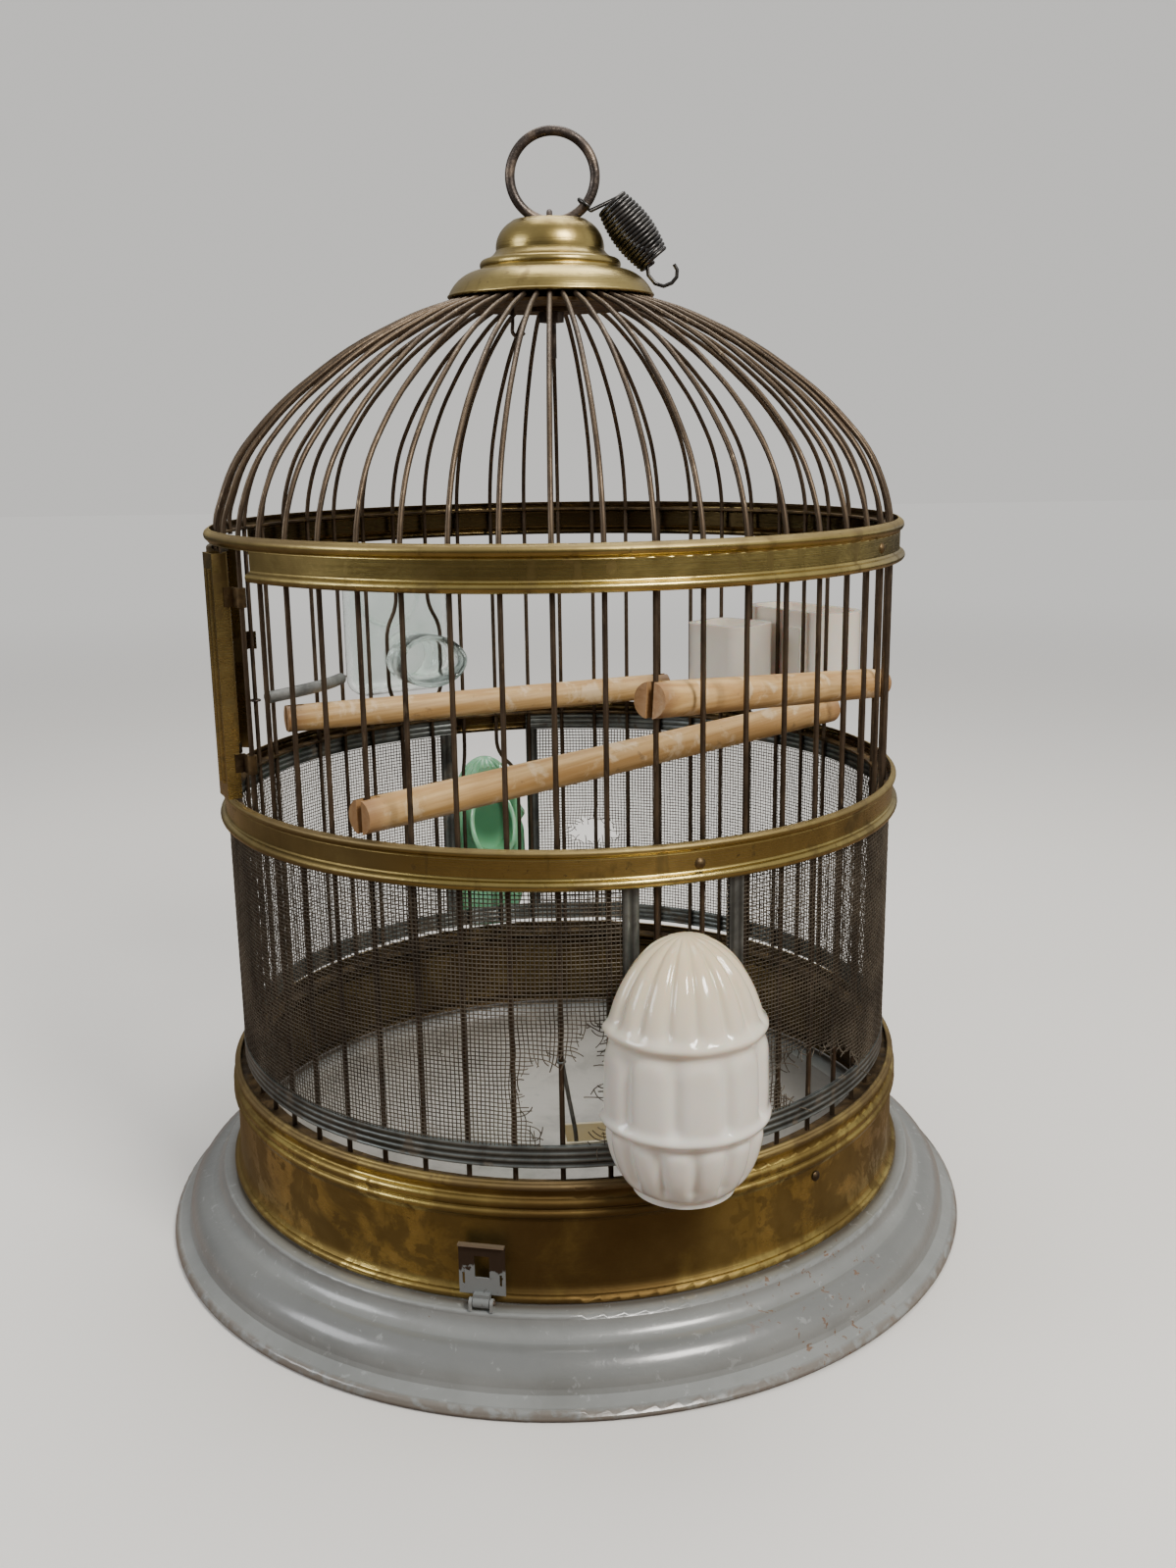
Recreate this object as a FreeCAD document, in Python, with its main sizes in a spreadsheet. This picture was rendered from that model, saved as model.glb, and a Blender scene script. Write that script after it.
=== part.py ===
import FreeCAD, Part
import math
import os
import Sketcher

# A round brass bird cage on a spun tin base, with its door, perches, seed guard and feeders.
# Millimetres, +Z up, origin under the centre of the base, front of the cage towards -Y.
# Azimuths are in degrees from the front, positive towards +X.

doc = FreeCAD.newDocument("bird_cage")
sheet = doc.addObject("Spreadsheet::Sheet", "Sizes")

SIZES = [
    ("base_radius", 180.0, "outer radius of the rolled rim of the base"),
    ("flange_height", 28.7, "top of the flange that the skirt stands on"),
    ("tin_gauge", 0.7, "sheet of the base"),
    ("rim_wire_radius", 1.1, "wire rolled into the base rim"),
    ("skirt_radius", 148.6, "outer face of the skirt wall"),
    ("skirt_bottom", 29.0, "lower edge of the skirt"),
    ("brass_gauge", 0.5, "sheet of the skirt, the bands and the crown"),
    ("band_radius", 144.9, "outer face of the two band webs"),
    ("middle_band_bottom", 187.8, "lower edge of the middle band"),
    ("upper_band_bottom", 292.0, "lower edge of the upper band"),
    ("wire_circle", 141.0, "radius of the circle of upright wires"),
    ("wire_radius", 1.0, "radius of one cage wire"),
    ("wire_foot", 70.0, "lower end of the cage wires"),
    ("wire_count", 50, "number of cage wires"),
    ("hoop_inner", 138.9, "inner radius of the punched hoops"),
    ("hoop_gauge", 0.8, "thickness of the punched hoops"),
    ("skirt_hoop_height", 73.0, "underside of the hoop in the skirt"),
    ("middle_hoop_height", 197.2, "underside of the hoop in the middle band"),
    ("upper_hoop_height", 304.6, "underside of the hoop in the upper band"),
    ("crown_radius", 42.5, "rim radius of the crown cap"),
    ("crown_base", 398.2, "rim height of the crown cap"),
    ("ring_height", 445.0, "centre of the hanging ring"),
    ("ring_radius", 17.25, "mean radius of the hanging ring"),
    ("ring_wire", 2.0, "wire radius of the hanging ring"),
    ("ring_shift", 1.5, "sideways place of the hanging ring"),
    ("guard_radius", 142.3, "inner radius of the seed guard rails"),
    ("guard_bottom", 81.0, "lower edge of the seed guard"),
    ("guard_top", 197.0, "upper edge of the seed guard"),
    ("guard_rail", 8.5, "height of the guard rails"),
    ("guard_depth", 1.9, "radial depth of the guard rails"),
    ("stile_width", 6.0, "width of the guard stiles"),
    ("perch_radius", 6.5, "radius of the wooden perches"),
    ("perch_slit", 2.9, "width of the slit that holds the wire"),
    ("door_bottom", 205.6, "lower edge of the door"),
    ("door_top", 301.4, "upper edge of the door"),
    ("neck_half", 12.9, "half width of a feeder neck between two wires"),
    ("glass_wall", 3.0, "wall of the glass feeders"),
]
for row, (alias, number, note) in enumerate(SIZES, start=1):
    sheet.set(f"A{row}", note)
    sheet.set(f"B{row}", str(number))
    sheet.setAlias(f"B{row}", alias)
doc.recompute()

NODES = []


def size(alias):
    """The number held in the sheet under this alias."""
    return float(sheet.get(alias))


def keep(thing, label):
    """Name an object and list it as one of the pieces that are written out."""
    thing.Label = label
    NODES.append(thing)
    return thing


def polar(radius, azimuth, height=0.0, side=0.0):
    """A point at this azimuth, moved sideways along the circle by side."""
    turn = math.radians(azimuth)
    x = radius * math.sin(turn) + side * math.cos(turn)
    y = -radius * math.cos(turn) + side * math.sin(turn)
    return FreeCAD.Vector(x, y, height)


def turned(azimuth):
    """The placement that carries a shape built at the front round to this azimuth."""
    return FreeCAD.Placement(FreeCAD.Vector(0, 0, 0), FreeCAD.Rotation(FreeCAD.Vector(0, 0, 1), azimuth))


# ---------------------------------------------------------------- outlines and turned sheet

def arc_data(first, last, sag):
    """Centre, radius and swap flag of the arc from first to last that rises sag to the left."""
    chord_x = last[0] - first[0]
    chord_z = last[1] - first[1]
    chord = math.hypot(chord_x, chord_z)
    radius = (chord * chord / 4 + sag * sag) / (2 * abs(sag))
    left = (-chord_z / chord, chord_x / chord)
    offset = sag - math.copysign(radius, sag)
    centre_x = (first[0] + last[0]) / 2 + left[0] * offset
    centre_z = (first[1] + last[1]) / 2 + left[1] * offset
    return (centre_x, centre_z), radius, sag > 0


def draw_outline(sketch, radius_alias, height_alias, corners):
    """A closed outline tied to two cells; a corner's third number bows the side that follows it."""
    start_r = size(radius_alias)
    start_z = size(height_alias)
    spots = [(start_r + corner[0], start_z + corner[1]) for corner in corners]
    shapes = []
    ends = []
    held = []
    for index, corner in enumerate(corners):
        first = spots[index]
        last = spots[(index + 1) % len(spots)]
        if corner[2] == 0:
            shapes.append(Part.LineSegment(FreeCAD.Vector(*first, 0), FreeCAD.Vector(*last, 0)))
            ends.append((1, 2))
            continue
        centre, radius, backwards = arc_data(first, last, corner[2])
        angles = [math.atan2(spot[1] - centre[1], spot[0] - centre[0]) for spot in (first, last)]
        if backwards:
            angles.reverse()
        if angles[1] < angles[0]:
            angles[1] += 2 * math.pi
        circle = Part.Circle(FreeCAD.Vector(*centre, 0), FreeCAD.Vector(0, 0, 1), radius)
        shapes.append(Part.ArcOfCircle(circle, angles[0], angles[1]))
        ends.append((2, 1) if backwards else (1, 2))
        upright = abs(last[1] - first[1]) > abs(last[0] - first[0])
        held.append((index, 3, centre[0] if upright else centre[1], upright))
    for index in range(len(corners)):
        held.append((index, ends[index][0], spots[index][0], True))
        held.append((index, ends[index][0], spots[index][1], False))
    rules = []
    for index in range(len(corners)):
        after = (index + 1) % len(corners)
        rules.append(Sketcher.Constraint("Coincident", index, ends[index][1], after, ends[after][0]))
    bound = []
    for index, place, value, across in held:
        if abs(value) < 1e-9:
            rules.append(Sketcher.Constraint("PointOnObject", index, place, -2 if across else -1))
            continue
        kind = "DistanceX" if across else "DistanceY"
        alias, start = (radius_alias, start_r) if across else (height_alias, start_z)
        bound.append((len(rules), f"Sizes.{alias} + {value - start:.5f}"))
        rules.append(Sketcher.Constraint(kind, -1, 1, index, place, value))
    sketch.addGeometry(shapes, False)
    sketch.addConstraint(rules)
    for number, formula in bound:
        sketch.setExpression(f"Constraints[{number}]", formula)


def lathe(label, radius_alias, height_alias, corners, keep_it=True):
    """A body turned about Z from a closed outline."""
    body = doc.addObject("PartDesign::Body", label)
    plane = next(item for item in body.Origin.OriginFeatures if item.Role == "XZ_Plane")
    sketch = body.newObject("Sketcher::SketchObject", label + "_outline")
    sketch.AttachmentSupport = (plane, [""])
    sketch.MapMode = "FlatFace"
    draw_outline(sketch, radius_alias, height_alias, corners)
    solid = body.newObject("PartDesign::Revolution", label + "_turned")
    solid.Profile = sketch
    solid.ReferenceAxis = (sketch, ["V_Axis"])
    solid.Angle = 360.0
    sketch.Visibility = False
    doc.recompute()
    if keep_it:
        keep(body, label)
    return body


def side_tangents(first, last, sag):
    """Unit direction of travel at the start and at the end of one side of a path."""
    if sag == 0:
        length = math.dist(first, last)
        along = ((last[0] - first[0]) / length, (last[1] - first[1]) / length)
        return along, along
    centre, radius, backwards = arc_data(first, last, sag)
    sense = -1 if backwards else 1
    found = []
    for spot in (first, last):
        spoke = ((spot[0] - centre[0]) / radius, (spot[1] - centre[1]) / radius)
        found.append((-spoke[1] * sense, spoke[0] * sense))
    return found[0], found[1]


def sheet_outline(path, gauge):
    """Close an open path into a strip by offsetting it to its left by gauge, or right if negative."""
    sides = []
    for index in range(len(path) - 1):
        first = path[index][:2]
        last = path[index + 1][:2]
        sag = path[index][2]
        sides.append((first, last, sag, *side_tangents(first, last, sag)))
    inner = []
    for index in range(len(path)):
        before = sides[max(index - 1, 0)][4] if index > 0 else sides[0][3]
        after = sides[index][3] if index < len(sides) else sides[-1][4]
        normal = (-(before[1] + after[1]) / 2, (before[0] + after[0]) / 2)
        square = normal[0] ** 2 + normal[1] ** 2
        inner.append((path[index][0] + normal[0] * gauge / square,
                      path[index][1] + normal[1] * gauge / square))
    corners = [(spot[0], spot[1], spot[2]) for spot in path[:-1]]
    corners.append((path[-1][0], path[-1][1], 0))
    for index in range(len(path) - 1, 0, -1):
        sag = path[index - 1][2]
        if sag == 0:
            corners.append((*inner[index], 0))
            continue
        centre, radius, backwards = arc_data(path[index - 1][:2], path[index][:2], sag)
        inner_radius = radius + gauge if backwards else radius - gauge
        half = math.dist(inner[index], inner[index - 1]) / 2
        rise = inner_radius - math.copysign(math.sqrt(max(inner_radius ** 2 - half ** 2, 0)),
                                            radius - abs(sag))
        corners.append((*inner[index], -math.copysign(rise, sag)))
    corners.append((*inner[0], 0))
    return corners


def spun(label, radius_alias, height_alias, gauge_alias, path, side=1, keep_it=True):
    """A turned sheet-metal piece that follows an open path, with its sheet on the left or the right."""
    corners = sheet_outline(path, side * size(gauge_alias))
    return lathe(label, radius_alias, height_alias, corners, keep_it)


# ---------------------------------------------------------------- plain shapes

def feature(label, shape, azimuth=0.0, place=None):
    """A piece whose shape is made by Part functions, carried round to its azimuth or to its place."""
    thing = doc.addObject("Part::Feature", label)
    thing.Shape = shape
    thing.Placement = place if place else turned(azimuth)
    return keep(thing, label)


def box(low, high):
    """A solid box between two corners."""
    spans = [high[axis] - low[axis] for axis in range(3)]
    return Part.makeBox(*spans, FreeCAD.Vector(*low))


def sector(inner, outer, low, high, start, end):
    """A curved strip between two radii, two heights and two azimuths."""
    corners = [(inner, low), (outer, low), (outer, high), (inner, high), (inner, low)]
    outline = Part.makePolygon([polar(radius, start, height) for radius, height in corners])
    return Part.Face(outline).revolve(FreeCAD.Vector(0, 0, 0), FreeCAD.Vector(0, 0, 1), end - start)


def rounded_route(points):
    """Straight runs joined by tangent arcs, each as large as the two runs beside it allow."""
    edges = []
    here = points[0]
    for index in range(1, len(points) - 1):
        back = points[index - 1] - points[index]
        ahead = points[index + 1] - points[index]
        turn = math.pi - back.getAngle(ahead)
        if turn < 1e-4:
            continue
        trim = 0.45 * min(back.Length, ahead.Length)
        back.normalize()
        ahead.normalize()
        first = points[index] + back * trim
        last = points[index] + ahead * trim
        radius = trim / math.tan(turn / 2)
        centre_way = back + ahead
        centre_way.normalize()
        centre = points[index] + centre_way * (radius / math.cos(turn / 2))
        middle = centre - centre_way * radius
        edges.append(Part.LineSegment(here, first).toShape())
        edges.append(Part.Arc(first, middle, last).toShape())
        here = last
    edges.append(Part.LineSegment(here, points[-1]).toShape())
    return Part.Wire(edges)


def rod_along(points, radius):
    """A round wire that follows a rounded route."""
    route = rounded_route(points)
    start = points[0]
    way = points[1] - points[0]
    section = Part.Wire([Part.makeCircle(radius, start, way)])
    return route.makePipeShell([section], True, False)


# ---------------------------------------------------------------- base

PAN_PATH = [
    (-180.0, -4.2, 0), (-37.5, -4.2, 0), (-34.6, -0.6, 0.2), (-33.4, 0.0, 0), (-24.4, -0.2, 0.7),
    (-22.6, -2.0, -1.2), (-17.8, -8.8, 3.0), (-7.2, -20.0, 0), (-6.6, -22.0, 0), (-2.6, -24.4, 0.62),
    (-0.1, -26.4, 0.9), (-1.8, -28.7, 0), (-3.4, -28.7, 0.6), (-4.3, -27.2, 0),
]
spun("base_pan", "base_radius", "flange_height", "tin_gauge", PAN_PATH, side=-1)

rim_wire = doc.addObject("Part::Torus", "base_rim_wire")
rim_wire.setExpression("Radius1", "Sizes.base_radius - 2.5")
rim_wire.setExpression("Radius2", "Sizes.rim_wire_radius")
rim_wire.setExpression("Placement.Base.z", "Sizes.tin_gauge + 1.5")
keep(rim_wire, "base_rim_wire")

CLIP_AZIMUTHS = (-11.5, 108.5, 228.5)
CLIP_NAMES = ("front_clip", "right_clip", "left_clip")
CLIP_HALF = 8.8
CLIP_FACE = 153.0
CLIP_GAUGE = 0.8
CLIP_FOOT = 33.9
CLIP_TOP = 54.4
CLIP_SLOT = (2.9, 40.5, 49.5)
CLIP_SIDE_SLOTS = (-7.6, 6.6)
CLIP_SIDE_SLOT = (1.0, 37.6, 42.4)
CLIP_LIP = 2.0
KNUCKLE_RADIUS = 2.0
KNUCKLE_HALF = 3.1
PIN_PLAY = 0.05
EAR_SIDES = (-4.6, 3.4)
EAR_GAUGE = 1.2
EAR_RADIUS = 1.8
EAR_FOOT = 28.75
CLIP_PIN_HEIGHT = 31.6
CLIP_PIN_RADIUS = 155.6
PIN_RADIUS = 0.9


def clip_lug():
    """A half-round ear pair on the flange that holds the clip's pin."""
    ears = []
    for side in EAR_SIDES:
        post = box((side, -CLIP_PIN_RADIUS - EAR_RADIUS, EAR_FOOT),
                   (side + EAR_GAUGE, -CLIP_PIN_RADIUS + EAR_RADIUS, CLIP_PIN_HEIGHT))
        centre = FreeCAD.Vector(side, -CLIP_PIN_RADIUS, CLIP_PIN_HEIGHT)
        tip = Part.makeCylinder(EAR_RADIUS, EAR_GAUGE, centre, FreeCAD.Vector(1, 0, 0))
        hole = Part.makeCylinder(PIN_RADIUS, EAR_GAUGE, centre, FreeCAD.Vector(1, 0, 0))
        ears.append(post.fuse(tip).cut(hole))
    return Part.makeCompound(ears)


def clip_plate():
    """A slotted spring clip with a turned-out top edge and a knuckle round its pin."""
    front = -CLIP_FACE - CLIP_GAUGE
    plate = box((-CLIP_HALF, front, CLIP_FOOT), (CLIP_HALF, -CLIP_FACE, CLIP_TOP))
    half, low, high = CLIP_SLOT
    plate = plate.cut(box((-half, front - 0.2, low), (half, -CLIP_FACE + 0.2, high)))
    width, low, high = CLIP_SIDE_SLOT
    for side in CLIP_SIDE_SLOTS:
        plate = plate.cut(box((side, front - 0.2, low), (side + width, -CLIP_FACE + 0.2, high)))
    lip = box((-CLIP_HALF, -CLIP_FACE - CLIP_LIP, CLIP_TOP - CLIP_GAUGE), (CLIP_HALF, -CLIP_FACE, CLIP_TOP))
    pin_start = FreeCAD.Vector(-KNUCKLE_HALF, -CLIP_PIN_RADIUS, CLIP_PIN_HEIGHT)
    knuckle = Part.makeCylinder(KNUCKLE_RADIUS, 2 * KNUCKLE_HALF, pin_start, FreeCAD.Vector(1, 0, 0))
    web = box((-KNUCKLE_HALF, -CLIP_PIN_RADIUS - 0.6, CLIP_PIN_HEIGHT + 1.0),
              (KNUCKLE_HALF, -CLIP_FACE, CLIP_FOOT + 1.0))
    body = plate.fuse([lip, knuckle, web]).removeSplitter()
    bore = Part.makeCylinder(PIN_RADIUS + PIN_PLAY, 2 * KNUCKLE_HALF, pin_start, FreeCAD.Vector(1, 0, 0))
    return body.cut(bore)


def ring_of(shape, azimuths):
    """The same solid at several azimuths, as one group of separate solids."""
    copies = []
    for azimuth in azimuths:
        copy = shape.copy()
        copy.Placement = turned(azimuth)
        copies.append(copy)
    return Part.makeCompound(copies)


feature("clip_lugs", ring_of(clip_lug(), CLIP_AZIMUTHS))
PIN_HALF = 5.2
clip_pin = Part.makeCylinder(PIN_RADIUS, 2 * PIN_HALF,
                             FreeCAD.Vector(-PIN_HALF, -CLIP_PIN_RADIUS, CLIP_PIN_HEIGHT),
                             FreeCAD.Vector(1, 0, 0))
feature("clip_pins", ring_of(clip_pin, CLIP_AZIMUTHS))
for name, azimuth in zip(CLIP_NAMES, CLIP_AZIMUTHS):
    feature(name, clip_plate(), azimuth)

# ---------------------------------------------------------------- skirt and bands

SKIRT_PATH = [
    (2.2, 0.0, 0), (3.2, 1.0, -0.9), (1.6, 3.6, 0.5), (0.3, 8.0, 0), (0.0, 32.8, 0), (0.5, 34.2, -1.1),
    (0.5, 37.6, 0.1), (0.5, 38.2, -1.1), (0.2, 41.8, 0.5), (-0.6, 43.6, 0), (-0.2, 45.0, -0.9),
    (-0.5, 47.6, -0.5), (-2.2, 48.3, 0),
]
spun("skirt_band", "skirt_radius", "skirt_bottom", "brass_gauge", SKIRT_PATH)

MIDDLE_PATH = [
    (0.2, 0.0, 0), (0.4, 0.1, -1.9), (0.4, 3.9, 0.2), (0.0, 5.2, 0), (0.0, 11.2, 0.2), (0.3, 12.2, -1.2),
    (0.2, 15.0, -0.2), (-0.8, 15.2, 0),
]
spun("middle_band", "band_radius", "middle_band_bottom", "brass_gauge", MIDDLE_PATH)

UPPER_PATH = [
    (-0.2, 0.0, 0), (0.1, 0.1, -1.7), (0.1, 3.6, 0.2), (-0.4, 4.8, 0), (-0.4, 11.2, 0.2), (-0.3, 12.0, -1.5),
    (-0.5, 16.2, -0.2), (-1.4, 16.6, 0),
]
whole_band = spun("upper_band_ring", "band_radius", "upper_band_bottom", "brass_gauge", UPPER_PATH,
                  keep_it=False)
DOOR_CUT = (-105.0, -50.6)
cut_tool = doc.addObject("Part::Feature", "door_gap_tool")
cut_tool.Shape = sector(138.0, 152.0, size("upper_band_bottom") - 2, size("upper_band_bottom") + 11.4,
                        *DOOR_CUT)
upper_band = doc.addObject("Part::Cut", "upper_band")
upper_band.Base = whole_band
upper_band.Tool = cut_tool
keep(upper_band, "upper_band")

WIRE_STEP = 360.0 / size("wire_count")
WIRE_AZIMUTHS = [number * WIRE_STEP for number in range(int(size("wire_count")))]


def punched_hoop(label, height_alias, outer, play=0.03):
    """A flat ring punched with a hole for every upright wire, with this play round it."""
    height = size(height_alias)
    gauge = size("hoop_gauge")
    centre = FreeCAD.Vector(0, 0, height)
    ring = Part.makeCylinder(outer, gauge, centre).cut(Part.makeCylinder(size("hoop_inner"), gauge, centre))
    hole = Part.makeCylinder(size("wire_radius") + play, gauge, polar(size("wire_circle"), 0, height))
    feature(label, ring.cut(ring_of(hole, WIRE_AZIMUTHS)))


punched_hoop("skirt_hoop", "skirt_hoop_height", size("skirt_radius") - 1.2)
punched_hoop("middle_hoop", "middle_hoop_height", size("band_radius") - 0.6)
punched_hoop("upper_hoop", "upper_hoop_height", size("band_radius") - 1.0, play=0.25)

RIVETS = [
    ("band_radius", 0.0, 194.6, 20.5), ("band_radius", 0.0, 194.6, 200.5),
    ("skirt_radius", 0.3, 58.0, 41.7), ("skirt_radius", 0.3, 58.0, 221.7),
    ("band_radius", -0.4, 299.6, 60.0), ("band_radius", -0.4, 299.6, 180.0),
]


def rivet(radius, height, azimuth):
    """A small domed rivet head standing on a band."""
    head = Part.makeSphere(2.6, FreeCAD.Vector(0, -radius + 1.45, height), FreeCAD.Vector(0, 0, 1))
    head = head.common(box((-3, -radius - 3, height - 3), (3, -radius - 0.02, height + 3)))
    head.Placement = turned(azimuth)
    return head


feature("band_rivets", Part.makeCompound(
    [rivet(size(alias) + extra, height, azimuth) for alias, extra, height, azimuth in RIVETS]))

# ---------------------------------------------------------------- upright wires

DOME = [
    (141.0, 312.0), (132.5, 335.0), (113.5, 356.5), (84.0, 378.5), (56.0, 391.8), (39.8, 396.7),
]
# Two wires beside each feeder are sprung apart round its neck: middle azimuth, heights, wires.
NECKS = {
    "front": (18.0, 92.0, 146.0, (14.4, 21.6)),
    "rear": (-164.0, 117.0, 166.0, (-158.4, -165.6)),
    "glass": (-147.6, 215.0, 247.5, (-144.0, -151.2)),
}
BOW_RAMP = 11.0
DOOR_WIRES = [-64.8, -72.0, -79.2, -86.4, -93.6]


def same_way(first, second):
    """True when two azimuths point the same way."""
    return abs((first - second + 180.0) % 360.0 - 180.0) < 0.1


def bow_of(azimuth):
    """Sideways shift and heights of the bow in this wire, or nothing where it runs straight."""
    for middle, low, high, wires in NECKS.values():
        for wire in wires:
            if same_way(azimuth, wire):
                lean = (wire - middle) * math.pi / 180.0 * size("wire_circle")
                reach = size("neck_half") + 1.3 + size("wire_radius")
                return math.copysign(reach, lean) - lean, low, high
    return None


def wire_points(azimuth, low, high):
    """The route of one wire from its foot to its end, between two heights."""
    circle = size("wire_circle")
    points = [polar(circle, azimuth, low)]
    bow = bow_of(azimuth)
    if bow:
        shift, start, end = bow
        points.append(polar(circle, azimuth, start - BOW_RAMP))
        points.append(polar(circle, azimuth, start, shift))
        points.append(polar(circle, azimuth, end, shift))
        points.append(polar(circle, azimuth, end + BOW_RAMP))
    if high > DOME[0][1]:
        points += [polar(radius, azimuth, height) for radius, height in DOME]
    else:
        points.append(polar(circle, azimuth, high))
    return points


def cage_wires():
    """All the upright wires, those in the doorway cut short below and above it."""
    foot = size("wire_foot")
    top = DOME[-1][1]
    radius = size("wire_radius")
    plain = rod_along(wire_points(0.0, foot, top), radius)
    lower = rod_along([polar(size("wire_circle"), 0, foot), polar(size("wire_circle"), 0, 199.4)], radius)
    upper_route = [polar(size("wire_circle"), 0, 303.2)] + [polar(spot, 0, height) for spot, height in DOME]
    upper = rod_along(upper_route, radius)
    wires = []
    for azimuth in WIRE_AZIMUTHS:
        if any(same_way(azimuth, short) for short in DOOR_WIRES):
            pieces = [lower.copy(), upper.copy()]
        elif bow_of(azimuth):
            wires.append(rod_along(wire_points(azimuth, foot, top), radius))
            continue
        else:
            pieces = [plain.copy()]
        for piece in pieces:
            piece.Placement = turned(azimuth)
            wires.append(piece)
    return Part.makeCompound(wires)


feature("cage_wires", cage_wires())

# ---------------------------------------------------------------- crown

CROWN_PATH = [
    (-2.4, -0.3, 0), (-0.3, -0.2, -0.45), (-0.4, 1.0, -2.2), (-13.6, 10.6, 0), (-13.9, 11.3, -1.1),
    (-15.6, 14.8, 0.6), (-20.3, 18.2, -1.9), (-26.6, 29.3, -0.6), (-29.5, 29.6, 0),
]
spun("crown_cap", "crown_radius", "crown_base", "brass_gauge", CROWN_PATH)

PLATE_OUTLINE = [(-40.2, -4.1, 0), (-2.6, -4.1, 0), (-2.3, -2.9, 0), (-40.2, -2.9, 0)]
lathe("crown_plate", "crown_radius", "crown_base", PLATE_OUTLINE)

ROD_RADIUS = 2.0
ROD_FOOT = 374.0
EYE_HEIGHT = 426.7
EYE_MEAN = 4.6
EYE_WIRE = 1.2
rod = doc.addObject("Part::Cylinder", "crown_rod")
rod.Radius = ROD_RADIUS
rod.Height = EYE_HEIGHT - EYE_MEAN - ROD_FOOT
rod.Placement.Base.z = ROD_FOOT
eye = doc.addObject("Part::Torus", "crown_eye")
eye.Radius1 = EYE_MEAN
eye.Radius2 = EYE_WIRE
eye.Placement = FreeCAD.Placement(FreeCAD.Vector(0, 0, EYE_HEIGHT),
                                  FreeCAD.Rotation(FreeCAD.Vector(0, 1, 0), 90))
bolt = doc.addObject("Part::Fuse", "crown_bolt")
bolt.Base = rod
bolt.Tool = eye
keep(bolt, "crown_bolt")

NUT_CORNER = 5.2
NUT_FOOT = 388.3
NUT_HEIGHT = 4.0
WASHER_RADIUS = 9.0
WASHER_FOOT = 392.45
WASHER_HEIGHT = 1.6
COLLAR_RADIUS = 6.0
COLLAR_FOOT = 395.7
COLLAR_HEIGHT = 3.0
ROD_PLAY = 0.03

rod_hole = Part.makeCylinder(ROD_RADIUS + ROD_PLAY, EYE_HEIGHT - ROD_FOOT, FreeCAD.Vector(0, 0, ROD_FOOT))
nut_corners = []
for turn in range(7):
    angle = turn * math.pi / 3
    nut_corners.append(FreeCAD.Vector(NUT_CORNER * math.cos(angle), NUT_CORNER * math.sin(angle), NUT_FOOT))
nut = Part.Face(Part.makePolygon(nut_corners)).extrude(FreeCAD.Vector(0, 0, NUT_HEIGHT))
washer = Part.makeCylinder(WASHER_RADIUS, WASHER_HEIGHT, FreeCAD.Vector(0, 0, WASHER_FOOT))
collar = Part.makeCylinder(COLLAR_RADIUS, COLLAR_HEIGHT, FreeCAD.Vector(0, 0, COLLAR_FOOT))
feature("crown_nut", nut.cut(rod_hole))
feature("crown_washer", washer.cut(rod_hole))
feature("crown_collar", collar.cut(rod_hole))

HOOK_ROUTE = [(-16, 0, 394.05), (-16, 0, 388.5), (-16.4, 0, 384.2), (-13.6, 0, 382.4), (-11.2, 0, 384.6)]
feature("swing_hook", rod_along([FreeCAD.Vector(*spot) for spot in HOOK_ROUTE], 0.8))

# ---------------------------------------------------------------- hanging ring and spring

ring = doc.addObject("Part::Torus", "hanging_ring")
ring.setExpression("Radius1", "Sizes.ring_radius")
ring.setExpression("Radius2", "Sizes.ring_wire")
ring.Placement = FreeCAD.Placement(FreeCAD.Vector(size("ring_shift"), 0, size("ring_height")),
                                   FreeCAD.Rotation(FreeCAD.Vector(1, 0, 0), 90))
keep(ring, "hanging_ring")

SPRING_TOP = FreeCAD.Vector(25.2, 0, 434.8)
SPRING_WAY = FreeCAD.Vector(17.6, 0, -23.0)
SPRING_LENGTH = 28.6
SPRING_ENDS = 6.9
SPRING_BELLY = 9.1
SPRING_WIRE = 1.7
SPRING_EYE = 3.3
SPRING_PERCH = math.radians(-40.0)


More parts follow.
